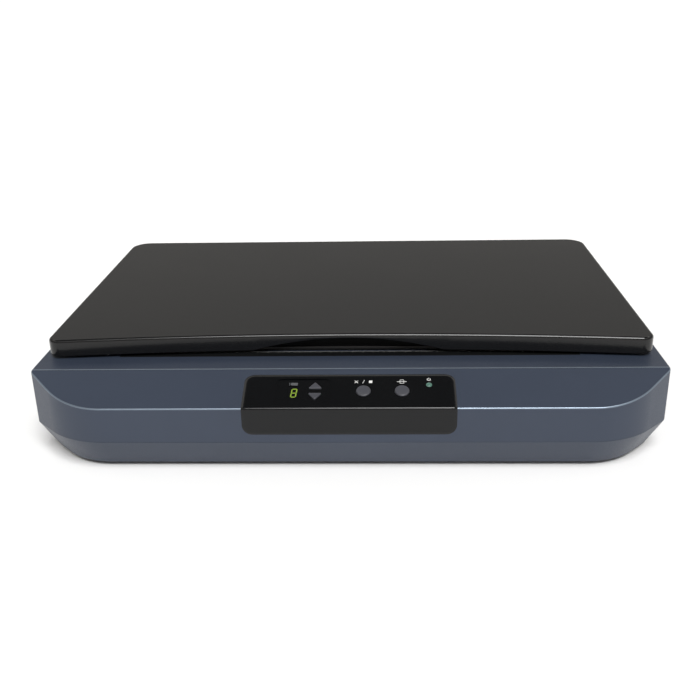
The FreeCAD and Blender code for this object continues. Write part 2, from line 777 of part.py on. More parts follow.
def tooth_points(teeth):
    """One tooth along +X, its flanks arcs that follow the involute, in modules."""
    pitch = teeth / 2
    base = pitch * math.cos(math.radians(PRESSURE_ANGLE))
    flank = pitch * math.sin(math.radians(PRESSURE_ANGLE))
    thinning = 0.08 / pitch

    def half_angle(radius):
        lean = math.acos((base * base + radius * radius - flank * flank) / (2 * base * radius))
        return math.pi / 2 / teeth - thinning + lean - math.radians(PRESSURE_ANGLE)

    tip = pitch + 0.8
    foot = pitch - 1.15
    tip_turn = half_angle(tip)
    foot_turn = half_angle(max(foot, base * 0.99))
    sole = foot - 0.4
    corners = [(sole, -foot_turn), (foot, -foot_turn), (tip, -tip_turn),
               (tip, tip_turn), (foot, foot_turn), (sole, foot_turn)]
    return [(D.tooth_module * (radius * math.cos(turn)), D.tooth_module * (radius * math.sin(turn)))
            for radius, turn in corners]


def toothed_body(teeth, low, high, turn, x, y, label):
    """A spur gear round the body's own axis, one tooth repeated all round."""
    body = new_body(label)
    extrude(body, sketch_on(body, "XY", low, [(0, 0, D.tooth_module * (teeth / 2 - 1.1))]),
            high - low, "blank")
    profile = sketch_on(body, "XY", low, [tooth_points(teeth)], "tooth_profile")
    tooth = extrude(body, profile, high - low, "tooth")
    ring = body.newObject("PartDesign::PolarPattern", "teeth")
    ring.Originals = [tooth]
    ring.Axis = (profile, ["N_Axis"])
    ring.Angle = 360
    ring.Occurrences = teeth
    body.Tip = ring
    body.Placement = FreeCAD.Placement(Vector(), Rotation(Vector(0, 0, 1), turn))
    return move(body, x, y, 0)


def pulley(x, y):
    """The belt's pulley: a drum between two flanges."""
    drum = rod((x, y, 44), D.belt_radius - 0.35, 8)
    flanges = [rod((x, y, low), D.belt_radius + 2, 1) for low in (44, 51)]
    return [drum] + flanges


def belt_gear():
    gear = toothed_body(GEAR_TEETH, 38, 43, 0, D.drive_x, D.belt_y, "gear_ring")
    hub = rod((D.drive_x, D.belt_y, 42), 7, 3)
    solid = join([gear, hub] + pulley(D.drive_x, D.belt_y), "gear_and_pulley")
    bore = rod((D.drive_x, D.belt_y, 30), D.stud_radius + D.running_gap, 30)
    return node(cut(solid, [bore]), "belt_gear")


def motor_pinion():
    pinion = toothed_body(PINION_TEETH, 37.5, 43.5, 15, MOTOR_X, MOTOR_Y, "pinion_ring")
    shaft = rod((MOTOR_X, MOTOR_Y, 24), SHAFT_RADIUS, 21)
    return node(join([pinion, shaft]), "motor_pinion")


def idler_pulley():
    solid = join(pulley(D.idler_x, D.belt_y), "idler_drum")
    bore = rod((D.idler_x, D.belt_y, 40), D.stud_radius + D.running_gap, 20)
    return node(cut(solid, [bore]), "idler_pulley")


def pulley_studs():
    studs = []
    for x, low in ((D.drive_x, D.plate_low + D.plate_thick),
                   (D.idler_x, D.guide_z - 1 + D.plate_thick)):
        shank = rod((x, D.belt_y, low), D.stud_radius, 53.5 - low)
        head = rod((x, D.belt_y, 52.6), 4, 1.2)
        studs.append(join([shank, head], "stud"))
    return node(group(studs), "pulley_studs")


def stepper_motor():
    low = 12
    can = rod((MOTOR_X, MOTOR_Y, low), D.motor_radius, D.plate_low - low)
    ear = box((MOTOR_X - 23, MOTOR_Y - 4, D.plate_low - 1.2), (MOTOR_X + 23, MOTOR_Y + 4,
                                                              D.plate_low))
    bore = rod((MOTOR_X, MOTOR_Y, 23), SHAFT_RADIUS + D.running_gap, 20)
    return node(cut(join([can, ear], "can"), [bore]), "stepper_motor")


def motor_bracket():
    rear = D.guide_y - 10 - D.fit_gap
    outline = [(195, -190), (240, -190), (271, -162), (271, rear), (195, rear)]
    holes = [(x, y, 1.7) for x, y in MOTOR_SCREWS] + [(MOTOR_X, MOTOR_Y, 4)]
    return node(prism("XY", [outline] + holes, D.plate_low, D.plate_low + D.plate_thick),
                "motor_bracket")


def idler_bracket():
    low = D.guide_z - 1
    outline = [(-273, -167), (-236, -167), (-236, -149), (-273, -149)]
    holes = [(x, y, 1.7) for x, y in IDLER_SCREWS]
    return node(prism("XY", [outline] + holes, low, low + D.plate_thick), "idler_bracket")


def tension_spring():
    """A coil between the idler plate and its post."""
    spine = doc.addObject("Part::Helix", "spring_line")
    spine.Pitch = 2.6
    spine.Height = 20.8
    spine.Radius = 2.6
    ring = doc.addObject("Part::Circle", "spring_wire")
    ring.Radius = 0.5
    ring.Placement = FreeCAD.Placement(Vector(2.6, 0, 0), Rotation(Vector(1, 0, 0), 90))
    coil = doc.addObject("Part::Sweep", "spring")
    coil.Sections = [ring]
    coil.Spine = (spine, ["Edge1"])
    coil.Solid = True
    coil.Frenet = True
    coil.Placement = FreeCAD.Placement(Vector(), AXIS_TURN["x"])
    move(coil, -234.5, D.belt_y, D.guide_z - 5)
    return node(coil, "tension_spring")


# ----------------------------------------------------------------------------
# Electronics
# ----------------------------------------------------------------------------

BOARD_TOP = D.board_low + D.board_thick


def main_board():
    outline = [(D.board_left, D.board_front), (D.board_right, D.board_front),
               (D.board_right, D.board_rear), (D.board_left, D.board_rear)]
    holes = [(x, y, 1.4) for x, y in BOARD_SCREWS]
    return node(prism("XY", [outline] + holes, D.board_low, BOARD_TOP), "main_board")


COMPONENTS = [
    (120, 112, 28, 28, 2.2), (170, 110, 20, 20, 1.8), (205, 118, 12, 24, 1.6),
    (120, 160, 14, 18, 9), (178, 150, 22, 12, 7), (222, 160, 12, 12, 12), (100, 135, 8, 30, 6),
]


def board_components():
    parts = [box((x, y, BOARD_TOP), (x + wide, y + deep, BOARD_TOP + high))
             for x, y, wide, deep, high in COMPONENTS]
    parts += [rod((x, 180, BOARD_TOP), 5, 13) for x in (110, 124)]
    return node(group(parts), "board_components")


def usb_port():
    shell = box((D.usb_x - 6, REAR - 18, BOARD_TOP), (D.usb_x + 6, REAR, BOARD_TOP + 10.8))
    mouth = box((D.usb_x - 4.9, REAR - 14, BOARD_TOP + 1.3),
                (D.usb_x + 4.9, REAR + 1, BOARD_TOP + 9.5))
    tongue = box((D.usb_x - 2.9, REAR - 15, BOARD_TOP + 3.8),
                 (D.usb_x + 2.9, REAR - 1, BOARD_TOP + 7))
    return node(join([cut(shell, [mouth], "socket"), tongue]), "usb_port")


def power_inlet():
    body = box((D.inlet_x - 4.7, REAR - 14, BOARD_TOP), (D.inlet_x + 4.7, REAR, BOARD_TOP + 11))
    centre = BOARD_TOP + 5.5
    mouth = rod((D.inlet_x, REAR - 11, centre), 3.2, 14, "y")
    pin = rod((D.inlet_x, REAR - 12, centre), 1, 10.5, "y")
    return node(join([cut(body, [mouth], "barrel"), pin]), "power_inlet")


def switch_frame():
    outer = box((D.switch_x - 10.4, REAR - 18, D.switch_z - 6.4),
                (D.switch_x + 10.4, REAR + 0.5, D.switch_z + 6.4))
    flange = box((D.switch_x - 12, REAR, D.switch_z - 7.5),
                 (D.switch_x + 12, REAR + D.panel_thick, D.switch_z + 7.5))
    hollow = box((D.switch_x - 9.3, REAR - 12, D.switch_z - 4.9),
                 (D.switch_x + 9.3, REAR + 5, D.switch_z + 4.9))
    pivot = rod((D.switch_x, D.rocker_y, D.switch_z - 7), PIVOT_RADIUS + D.running_gap, 14)
    return node(cut(join([outer, flange], "frame"), [hollow, pivot]), "switch_frame")


ROCKER_TILT = 8
PIVOT_RADIUS = 1.2


def power_rocker():
    """Drawn level round its pivot, then tilted to the off position."""
    level = [(-4, -5), (4, -5), (8.2, -1), (8.2, 4.4), (0, 3), (-8.2, 4.4), (-8.2, -1)]
    body = prism("XY", [level], D.switch_z - 4.6, D.switch_z + 4.6, "rocker")
    body.Placement = FreeCAD.Placement(Vector(), Rotation(Vector(0, 0, 1), -ROCKER_TILT))
    move(body, D.switch_x, D.rocker_y, 0)
    pivot = rod((D.switch_x, D.rocker_y, D.switch_z - 6.2), PIVOT_RADIUS, 12.4)
    return node(join([body, pivot]), "power_rocker")


def control_cable():
    """Flat cable from the control board, down the front and over the floor."""
    route = [(-186.6, 52), (-186.6, 7), (88.6, 7), (88.6, 14.4), (93, 14.4), (93, BOARD_TOP),
             (94, BOARD_TOP), (94, 15), (88, 15), (88, 7.6), (-186, 7.6), (-186, 52)]
    return node(prism("YZ", [route], 74, 84), "control_cable")


def ribbon_cable():
    """Flat cable from the main board along the floor and back up to the carriage."""
    route = [(104, BOARD_TOP), (104, 16), (86, 16), (86, 8.6), (-250, 8.6),
             (-258.2, 16.8, -8.2), (-250, 25, -8.2), (-200, 25), (-200, 29.4), (-200.4, 29.4),
             (-200.4, 25.4), (-250, 25.4), (-258.6, 16.8, 8.6), (-250, 8.2, 8.6),
             (86.4, 8.2), (86.4, 15.6), (103.6, 15.6), (103.6, BOARD_TOP)]
    return node(prism("XZ", [route], 102, 122), "ribbon_cable")


# ----------------------------------------------------------------------------
# Scanning carriage
# ----------------------------------------------------------------------------

BEARING_PLACES = [24, -36]
BUSH_RADIUS = 5.2


def carriage_housing():
    left = D.home - D.carriage_half
    right = D.home + D.carriage_half
    tray = box((left, D.carriage_front, D.carriage_low), (right, D.carriage_rear, D.carriage_high))
    hollow = box((left + D.wall, D.carriage_front + D.wall, D.carriage_low + D.wall),
                 (right - D.wall, D.carriage_rear - D.wall, D.carriage_high + 5))
    bearings = [box((D.home + start, D.guide_y - 8, 33.8),
                    (D.home + start + 12, D.carriage_front + 1, 46.2)) for start in BEARING_PLACES]
    arm = box((D.home - 12, D.carriage_rear - 1, D.rail_top + 2),
              (D.home + 12, D.rail_rear, D.rail_top + 6))
    roof = box((D.home - 8, D.carriage_front, D.carriage_low), (D.home + 8, -95, 38.5))
    solid = join([cut(tray, [hollow], "tray"), arm, roof] + bearings, "tray_with_bearings")
    bores = rod((D.home - 50, D.guide_y, D.guide_z), BUSH_RADIUS + D.running_gap, 100, "x")
    bay = box((D.home - 5, D.carriage_front - 1, 29), (D.home + 5, -98, 36))
    return node(cut(solid, [bores, bay]), "carriage_housing")


def carriage_cover():
    left = D.home - D.carriage_half
    right = D.home + D.carriage_half
    outline = [(left, D.carriage_front), (right, D.carriage_front),
               (right, D.carriage_rear), (left, D.carriage_rear)]
    slit = [(D.home - 5, -106), (D.home + 16.5, -106), (D.home + 16.5, 172), (D.home - 5, 172)]
    return node(prism("XY", [outline, slit], D.carriage_high, D.carriage_high + D.wall),
                "carriage_cover")


LAMP_Z = 71.6


def scan_lamp():
    glass = rod((D.home + 10.5, -105, LAMP_Z), 1.6, 276, "y")
    ends = [rod((D.home + 10.5, y, LAMP_Z), 2.6, 6, "y") for y in (-106, 166)]
    return node(join([glass] + ends), "scan_lamp")


def lamp_reflector():
    x = D.home
    shape = [(x + 14, 68), (x + 14.6, 68), (x + 16.2, 71.6), (x + 14.6, 75.2),
             (x + 14, 75.2), (x + 15.5, 71.6)]
    return node(prism("XZ", [shape], -105, 171), "lamp_reflector")


MIRRORS = [(2, 44, 45, 270), (-29, 58, 70, 200), (-28, 41, -70, 150)]


def fold_mirrors():
    strips = []
    for across, height, lean, length in MIRRORS:
        half = 7
        thick = 3
        tilt = math.radians(lean)
        strip = doc.addObject("Part::Box", "mirror_strip")
        strip.Length = 2 * half
        strip.Width = length
        strip.Height = thick
        strip.Placement = FreeCAD.Placement(Vector(), Rotation(Vector(0, 1, 0), lean))
        strips.append(move(strip, D.home + across - half * math.cos(tilt), 33 - length / 2,
                           height + half * math.sin(tilt)))
    return node(group(strips), "fold_mirrors")


LENS_Y = 33
LENS_Z = 57


def lens_barrel():
    outer = join([rod((D.home + 17, LENS_Y, LENS_Z), 8.5, 10, "x"),
                  rod((D.home + 26, LENS_Y, LENS_Z), 7, 7, "x")], "barrel_steps")
    return node(cut(outer, [rod((D.home + 16, LENS_Y, LENS_Z), 5, 4, "x")]), "lens_barrel")


def sensor_board():
    board = box((D.home + 34.6, -27, 38), (D.home + 36.2, 93, 64))
    chip = box((D.home + 33.2, 3, 52), (D.home + 35, 63, 62))
    return node(join([board, chip]), "sensor_board")


def lamp_inverter():
    low = D.carriage_low + D.wall
    board = box((D.home - 36, 141, low), (D.home - 12, 172, low + 1.6))
    coil = box((D.home - 32, 146, low + 1), (D.home - 16, 166, low + 11))
    return node(join([board, coil]), "lamp_inverter")


def rod_bushings():
    bushes = [tube((D.home + start, D.guide_y, D.guide_z), BUSH_RADIUS,
                   D.guide_radius + D.running_gap, 12, "x", "bush") for start in BEARING_PLACES]
    return node(group(bushes), "rod_bushings")


def glide_pad():
    return node(box((D.home - 10, D.rail_front + 1, D.rail_top + D.fit_gap),
                    (D.home + 10, D.rail_rear - 1, D.rail_top + 2)), "glide_pad")


def belt_clamp():
    belt_line = D.belt_y + D.belt_radius
    jaw = box((D.home - 12, belt_line - 2.5, D.belt_low - 1.7),
              (D.home + 12, belt_line + 4, D.belt_high + 1.7))
    arm = box((D.home - 12, belt_line + 3, D.guide_z + 6),
              (D.home + 12, D.carriage_front, D.belt_high + 1.7))
    slot = box((D.home - 13, belt_line - 0.3, D.belt_low - 0.3),
               (D.home + 13, belt_line + D.belt_thick + 0.3, D.belt_high + 0.3))
    return node(cut(join([jaw, arm], "clamp_arm"), [slot]), "belt_clamp")


def carriage_lock():
    """Slide under the floor whose finger holds the carriage for transport."""
    plate = box((D.home - 8, -132, FLOOR_TOP + 0.3), (D.home + 8, -110, FLOOR_TOP + 2.3))
    finger = box((D.home - 3, -124, FLOOR_TOP + 1), (D.home + 3, -118, 33))
    tab = box((D.home - 2.5, -124, 2.5), (D.home + 2.5, -118, FLOOR_TOP + 1))
    return node(join([plate, finger, tab]), "carriage_lock")


# ----------------------------------------------------------------------------
# Lid and hinges
# ----------------------------------------------------------------------------

def lid_plan(inset):
    """Plan of the lid, its front edge curving back towards the middle."""
    half = D.lid_half - inset
    chord = D.lid_half - D.lid_front_radius
    bow = (chord * chord + D.lid_sag * D.lid_sag) / (2 * D.lid_sag)
    front = D.lid_front + inset
    corner = D.lid_front + D.lid_front_radius
    small = D.lid_front_radius - inset
    large = D.lid_rear_radius - inset
    rear = D.lid_rear - inset
    return [(-chord, front, small), (chord, front, -bow - inset), (half, corner, small),
            (half, rear - large), (half - large, rear, large), (-half + large, rear),
            (-half, rear - large, large), (-half, corner)]


def arch(half, rise, low, near, far, label):
    """An arch seen from the front, run back between two depths."""
    bow = (half * half + rise * rise) / (2 * rise)
    under = low - 5
    return prism("XZ", [[(-half, under), (half, under), (half, low), (0, low + rise, bow),
                         (-half, low, bow)]], near, far, label)


LID_SCREWS = [(262, -95), (-262, -95), (262, 165), (-262, 165)]
GRIP_BACK = -111
GRIP_WALL = 2.5


def lid_cover():
    block = prism("XY", [lid_plan(0)], D.lid_low, D.lid_high, "lid_block")
    top = float(D.lid_high)
    outer = rounded(block, D.lid_round,
                    lambda edge: abs(edge.BoundBox.ZMin - top) < 0.01, "lid_rounded")
    hollow = prism("XY", [lid_plan(D.wall)], D.lid_low - 1, D.lid_high - D.wall, "lid_hollow")
    skin = cut(outer, [hollow], "lid_skin")
    grip = arch(D.grip_half + 7, D.grip_rise + 2, D.lid_low, -122.5, GRIP_BACK + GRIP_WALL,
                "grip_shell")
    below = box((-150, -140, 70), (150, -100, D.lid_low))
    grip_shell = cut(grip, [below], "grip_trimmed")
    bosses = [rod((x, y, D.lid_low + 2), 4, D.lid_high - D.wall - D.lid_low - 1.5)
              for x, y in LID_SCREWS]
    notches = [box((D.post_place * side - 15, 191, D.lid_low - 2),
                   (D.post_place * side + 15, 203, D.lid_low + 11)) for side in (1, -1)]
    body = cut(join([skin, grip_shell] + bosses, "lid_body"), notches, "lid_notched")
    lugs = []
    for side in (1, -1):
        for start in (12.5, -18):
            x = D.post_place * side + start
            lugs.append(rod((x, D.hinge_back, D.hinge_height), D.knuckle_radius, 5.5, "x"))
            lugs.append(box((x, D.hinge_back - 4.8, D.hinge_height),
                            (x + 5.5, D.hinge_back + 4.8, D.lid_high - D.wall + 0.5)))
    solid = join([body] + lugs, "lid_with_lugs")
    tools = [rod((D.post_place * side - 19, D.hinge_back, D.hinge_height),
                 D.pin_radius + D.running_gap, 38, "x") for side in (1, -1)]
    tools.append(arch(D.grip_half, D.grip_rise, D.lid_low, -145, GRIP_BACK, "grip_void"))
    tools += [rod((x, y, D.lid_low), 1.45, 11) for x, y in LID_SCREWS]
    return node(cut(solid, tools), "lid_cover")


def lid_inner():
    reach = 98.5
    side = D.lid_half - 4
    rear = 190
    turn = 16
    outline = [(-side, -119.5), (-reach, -119.5), (-reach, -107.5), (reach, -107.5),
               (reach, -119.5), (side, -119.5), (side, rear - turn), (side - turn, rear, turn),
               (-side + turn, rear), (-side, rear - turn, turn)]
    holes = [(x, y, 1.6) for x, y in LID_SCREWS]
    return node(prism("XY", [outline] + holes, D.lid_low, D.lid_low + 2), "lid_inner")


def document_mat():
    return node(box((-D.mat_half, D.mat_front, D.mat_low), (D.mat_half, D.mat_rear, D.lid_low)),
                "document_mat")


def lid_bumpers():
    pads = [rod((x, y, D.deck_height + D.fit_gap), 5, D.lid_low - D.deck_height - D.fit_gap)
            for x in (245, -245) for y in (-105, 172)]
    return node(group(pads), "lid_bumpers")


def lid_screws():
    return node(group(screws(LID_SCREWS, D.lid_low - 1.2, 3, D.lid_low - 0.5, 96, 1.4, 1.2)),
                "lid_screws")


def hinge_post(side, label):
    x = D.post_place * side
    half = D.post_wide / 2
    blade = box((x - half, D.hinge_back - D.post_thick / 2, 30),
                (x + half, D.hinge_back + D.post_thick / 2, D.hinge_height))
    knuckle = rod((x - half, D.hinge_back, D.hinge_height), D.knuckle_radius, D.post_wide, "x")
    bore = rod((x - half - 1, D.hinge_back, D.hinge_height), D.pin_radius + 0.02,
               D.post_wide + 2, "x")
    return node(cut(join([blade, knuckle], "post"), [bore]), label)


def hinge_pins():
    pins = [rod((D.post_place * side - 18, D.hinge_back, D.hinge_height), D.pin_radius, 36, "x")
            for side in (1, -1)]
    return node(group(pins), "hinge_pins")


# ----------------------------------------------------------------------------
# Build
# ----------------------------------------------------------------------------

def build():
    lower_housing()
    upper_housing()
    rubber_feet()
    housing_screws()
    inner_screws()
    platen_glass()
    calibration_strip()
    size_rulers()
    control_panel()
    display_window()
    digit_display()
    power_lamp()
    control_board()
    key_switches()
    round_button(D.cancel_place, "cancel_button")
    round_button(D.scan_place, "scan_button")
    arrow_key(UP_KEY, UP_STEM, "up_key")
    arrow_key(DOWN_KEY, DOWN_STEM, "down_key")
    guide_rod()
    guide_rail()
    rod_clamps()
    timing_belt()
    belt_gear()
    motor_pinion()
    idler_pulley()
    pulley_studs()
    stepper_motor()
    motor_bracket()
    idler_bracket()
    tension_spring()
    main_board()
    board_components()
    usb_port()
    power_inlet()
    switch_frame()
    power_rocker()
    control_cable()
    ribbon_cable()
    carriage_housing()
    carriage_cover()
    scan_lamp()
    lamp_reflector()
    fold_mirrors()
    lens_barrel()
    sensor_board()
    lamp_inverter()
    rod_bushings()
    glide_pad()
    belt_clamp()
    carriage_lock()
    lid_cover()
    lid_inner()
    document_mat()
    lid_bumpers()
    lid_screws()
    hinge_post(1, "hinge_post_right")
    hinge_post(-1, "hinge_post_left")
    hinge_pins()


def check():
    """Stops on any object that failed or any sub-part that is not a sound shape."""
    faults = []
    for item in doc.Objects:
        if "Invalid" in item.State or "Error" in item.State:
            faults.append("%s %s" % (item.Name, item.State))
    for item in nodes:
        shape = item.Shape
        if shape.isNull() or not shape.isValid() or not shape.Solids:
            faults.append("%s has no sound shape" % item.Label)
    if faults:
        raise ValueError("; ".join(faults))


build()
doc.recompute()
check()
for item in nodes:
    item.Shape.exportStep("parts/%s.step" % item.Label)
    print("%-20s solids %2d  volume %10.1f" % (item.Label, len(item.Shape.Solids),
                                               item.Shape.Volume))
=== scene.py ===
import json
import math
from functools import partial

import bmesh
import bpy
from bpy.props import FloatProperty, FloatVectorProperty, PointerProperty
from mathutils import Matrix, Vector

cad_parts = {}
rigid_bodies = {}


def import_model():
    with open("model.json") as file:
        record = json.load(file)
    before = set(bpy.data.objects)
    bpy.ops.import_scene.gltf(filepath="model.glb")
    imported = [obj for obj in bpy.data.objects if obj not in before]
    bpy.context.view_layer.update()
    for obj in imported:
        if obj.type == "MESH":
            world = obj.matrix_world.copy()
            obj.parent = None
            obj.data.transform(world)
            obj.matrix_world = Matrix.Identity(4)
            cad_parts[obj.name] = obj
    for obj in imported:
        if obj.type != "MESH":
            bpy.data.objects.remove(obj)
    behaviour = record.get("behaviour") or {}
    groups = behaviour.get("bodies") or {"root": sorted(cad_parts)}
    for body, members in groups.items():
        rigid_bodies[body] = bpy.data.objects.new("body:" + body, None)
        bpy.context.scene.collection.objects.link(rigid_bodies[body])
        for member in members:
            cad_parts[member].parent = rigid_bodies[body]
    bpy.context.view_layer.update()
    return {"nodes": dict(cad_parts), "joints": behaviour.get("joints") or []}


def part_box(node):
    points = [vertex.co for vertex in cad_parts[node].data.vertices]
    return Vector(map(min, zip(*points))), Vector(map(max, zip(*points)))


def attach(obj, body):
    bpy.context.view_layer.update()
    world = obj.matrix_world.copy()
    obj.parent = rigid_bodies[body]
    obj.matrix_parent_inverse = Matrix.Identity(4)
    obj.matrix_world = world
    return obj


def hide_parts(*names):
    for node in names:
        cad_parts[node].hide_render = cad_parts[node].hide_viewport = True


bl_info = {
    "name": "Flatbed Scanner Looks",
    "version": (1, 0, 0),
    "blender": (4, 5, 0),
    "location": "3D View > Sidebar > Scanner",
    "description": "Builds the visible pieces and finishes of a wide flatbed document scanner",
    "category": "Object",
}

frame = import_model()

MM = 0.001


def joint_axis(name):
    """Axis of one of the model's joints."""
    return Vector(next(joint["axis"] for joint in frame["joints"] if joint["name"] == name))


def box_mm(node):
    """Lowest and highest corner of a CAD node, in millimetres."""
    low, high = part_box(node)
    return low / MM, high / MM


# Places and sizes in millimetres, read from the fixed frame

HOUSING_LOW, HOUSING_HIGH = box_mm("upper_housing")
LID_LOW, LID_HIGH = box_mm("lid_cover")
PANEL_LOW, PANEL_HIGH = box_mm("control_panel")
GLASS_LOW, GLASS_HIGH = box_mm("platen_glass")
POSTS = [box_mm("hinge_post_right"), box_mm("hinge_post_left")]
HINGE_Y = (POSTS[0][0].y + POSTS[0][1].y) / 2
HINGE_RADIUS = 4.8
HINGE_Z = POSTS[0][1].z - HINGE_RADIUS
DECK = HOUSING_HIGH.z
FRONT = HOUSING_LOW.y
REAR = HOUSING_HIGH.y
SIDE = HOUSING_HIGH.x
PARTING = HOUSING_LOW.z
FLOOR = box_mm("lower_housing")[0].z
INWARD = joint_axis("cancel_press")
OUTWARD = -INWARD
UPHILL = Vector((0, OUTWARD.z, -OUTWARD.y))
SLOPE_RATIO = UPHILL.z / UPHILL.y
PANEL_THICK = FRONT - PANEL_LOW.y

# Shape of the housing's plan and of the slope, the same as in the design

SLOPE_CREASE = 65
CORNER_PLACE = 216
CORNER_RADIUS = 75
SIDE_RADIUS = 6
REAR_RADIUS = 12
FLARE = 15
WALL = 2.5
LID_SAG = 13
LID_FRONT_RADIUS = 12
LID_REAR_RADIUS = 22
GRIP_HALF = 90
GRIP_RISE = 12
GRIP_BACK = -111
GLASS_EDGE = 4
GLASS_PLAY = 0.3
LEDGE_LOW = 77


def linear(hex_code):
    """sRGB hex to a linear colour with alpha 1."""
    channels = [int(hex_code[start:start + 2], 16) / 255 for start in (1, 3, 5)]
    return tuple(c / 12.92 if c <= 0.04045 else ((c + 0.055) / 1.055) ** 2.4
                 for c in channels) + (1.0,)


# ----------------------------------------------------------------------------
# What a user may change
# ----------------------------------------------------------------------------

def length(name, description, default_mm):
    """A size property that opens with a value in millimetres."""
    return FloatProperty(name=name, description=description, default=default_mm * MM, min=0,
                         unit="LENGTH", subtype="DISTANCE", precision=5)


def tint(name, description, hex_code):
    """A colour property that opens with an sRGB hex colour."""
    return FloatVectorProperty(name=name, description=description, default=linear(hex_code),
                               size=4, min=0, max=1, subtype="COLOR")


class ScannerSizes(bpy.types.PropertyGroup):
    """Sizes of the finish, all inside the fixed design"""
    crease: length("Crease", "Rounding of the housing's outer creases", 0.95)
    parting: length("Parting", "Rounding of both lips of the parting line", 0.3)
    lid_round: length("Lid rounding", "Rounding of the lid's top edge", 3.2)
    panel_bevel: length("Panel bevel", "Width of the bevel round the control panel", 3.6)
    panel_bend: length("Panel bend", "Radius of the bend across the control panel", 1.5)
    button_dish: length("Button dish", "Depth of the hollow in the round buttons", 0.45)
    digit_height: length("Digit height", "Height of the lit digit", 9.6)
    digit_width: length("Digit width", "Width of the lit digit", 4.3)
    bar_width: length("Segment width", "Width of one bar of the digit", 1.0)
    tooth_pitch: length("Tooth pitch", "Spacing of the belt's teeth", 2.032)
    tooth_depth: length("Tooth depth", "Depth of the belt's teeth", 0.4)
    tick_pitch: length("Tick pitch", "Spacing of the marks on the rulers", 1.0)
    tick_width: length("Tick width", "Width of a ruler mark", 0.16)


class ScannerColours(bpy.types.PropertyGroup):
    """Colours of the finishes"""
    paint: tint("Paint", "Satin blue-grey paint of both housings", "#343c4b")
    # The crease colour is a painted highlight: a lighter tone on the crease bevels that stands in
    # for the light they catch.
    crease: tint("Crease paint", "The same paint where it thins over a crease", "#77828f")
    lid: tint("Lid", "Gloss black of the lid", "#0f0f10")
    panel: tint("Panel", "Hard-coated black of the control panel", "#08090b")
    key: tint("Key", "Satin grey of buttons and keys", "#3f4046")
    digit: tint("Digit", "Yellow-green of the lit digit", "#b4d848")
    lamp: tint("Lamp", "Green cap of the power lamp", "#4a6b61")
    ink: tint("Ink", "White screen-printed signs", "#e4e4e2")
    film: tint("Film", "White film of the document mat", "#dededa")


def size(name):
    """A size from the sidebar, in millimetres."""
    return getattr(bpy.context.scene.scanner_sizes, name) / MM


def colour(name):
    """A colour from the sidebar."""
    return tuple(getattr(bpy.context.scene.scanner_colours, name))


def shifted(first, share):
    """The same colour made lighter or darker by a share."""
    return tuple(min(channel * (1 + share), 1) for channel in first[:3]) + (1.0,)


# ----------------------------------------------------------------------------
# Outlines, in millimetres
# ----------------------------------------------------------------------------

def trace(points, steps=12):
    """Points of a closed outline; a point (x, y, r) ends an arc that turns left if r > 0."""
    traced = []
    for number, start in enumerate(points):
        end = points[(number + 1) % len(points)]
        first, last = Vector(start[:2]), Vector(end[:2])
        traced.append(first)
        if len(end) == 2:
            continue
        radius = end[2]
        chord = last - first
        rise = math.sqrt(max(radius * radius - chord.length_squared / 4, 0))
        left = Vector((-chord.y, chord.x)).normalized()
        centre = (first + last) / 2 + left * math.copysign(rise, radius)
        arm = first - centre
        sweep = 2 * math.asin(min(chord.length / 2 / abs(radius), 1))
        sweep = math.copysign(sweep, radius)
        for step in range(1, steps):
            arm_turned = arm.copy()
            arm_turned.rotate(Matrix.Rotation(sweep * step / steps, 2))
            traced.append(centre + arm_turned)
    return traced


def housing_plan(inset, rear_inset):
    """Plan of the housing, drawn in at front and sides, and apart from that at the rear."""
    side = SIDE - inset
    front = FRONT + inset
    rear = REAR - rear_inset
    big = CORNER_RADIUS - inset
    sine = math.sin(math.radians(45))
    arc_x = CORNER_PLACE + big * sine
    arc_y = FRONT + CORNER_RADIUS - big * sine
    meet_y = arc_y + side - arc_x
    reach = SIDE_RADIUS * math.tan(math.radians(22.5))
    slant_x = side - reach * sine
    slant_y = meet_y - reach * sine
    small = REAR_RADIUS - rear_inset
    return trace([
        (-CORNER_PLACE, front, big), (CORNER_PLACE, front),
        (arc_x, arc_y, big), (slant_x, slant_y), (side, meet_y + reach, SIDE_RADIUS),
        (side, rear - small), (side - small, rear, small),
        (-side + small, rear), (-side, rear - small, small),
        (-side, meet_y + reach), (-slant_x, slant_y, SIDE_RADIUS), (-arc_x, arc_y)], 16)


def lid_plan(inset):
    """Plan of the lid, its front edge curving back towards the middle."""
    half = LID_HIGH.x - inset
    chord = LID_HIGH.x - LID_FRONT_RADIUS
    bow = (chord * chord + LID_SAG * LID_SAG) / (2 * LID_SAG)
    front = LID_LOW.y + inset
    corner = LID_LOW.y + LID_FRONT_RADIUS
    small = LID_FRONT_RADIUS - inset
    large = LID_REAR_RADIUS - inset
    rear = LID_HIGH.y - inset
    return trace([
        (-chord, front, small), (chord, front, -bow - inset), (half, corner, small),
        (half, rear - large), (half - large, rear, large), (-half + large, rear),
        (-half, rear - large, large), (-half, corner)], 96)


def rectangle(left, right, low, high):
    """The four corners of a rectangle."""
    return [Vector((left, low)), Vector((right, low)), Vector((right, high)), Vector((left, high))]


def drawn_in(points, inset):
    """A convex outline with every side moved inwards."""
    count = len(points)
    moved = []
    for number in range(count):
        before = points[number] - points[number - 1]
        after = points[(number + 1) % count] - points[number]
        normal_before = Vector((-before.y, before.x)).normalized()
        normal_after = Vector((-after.y, after.x)).normalized()
        half_way = normal_before + normal_after
        moved.append(points[number] + half_way * inset / (1 + normal_before.dot(normal_after)))
    return moved


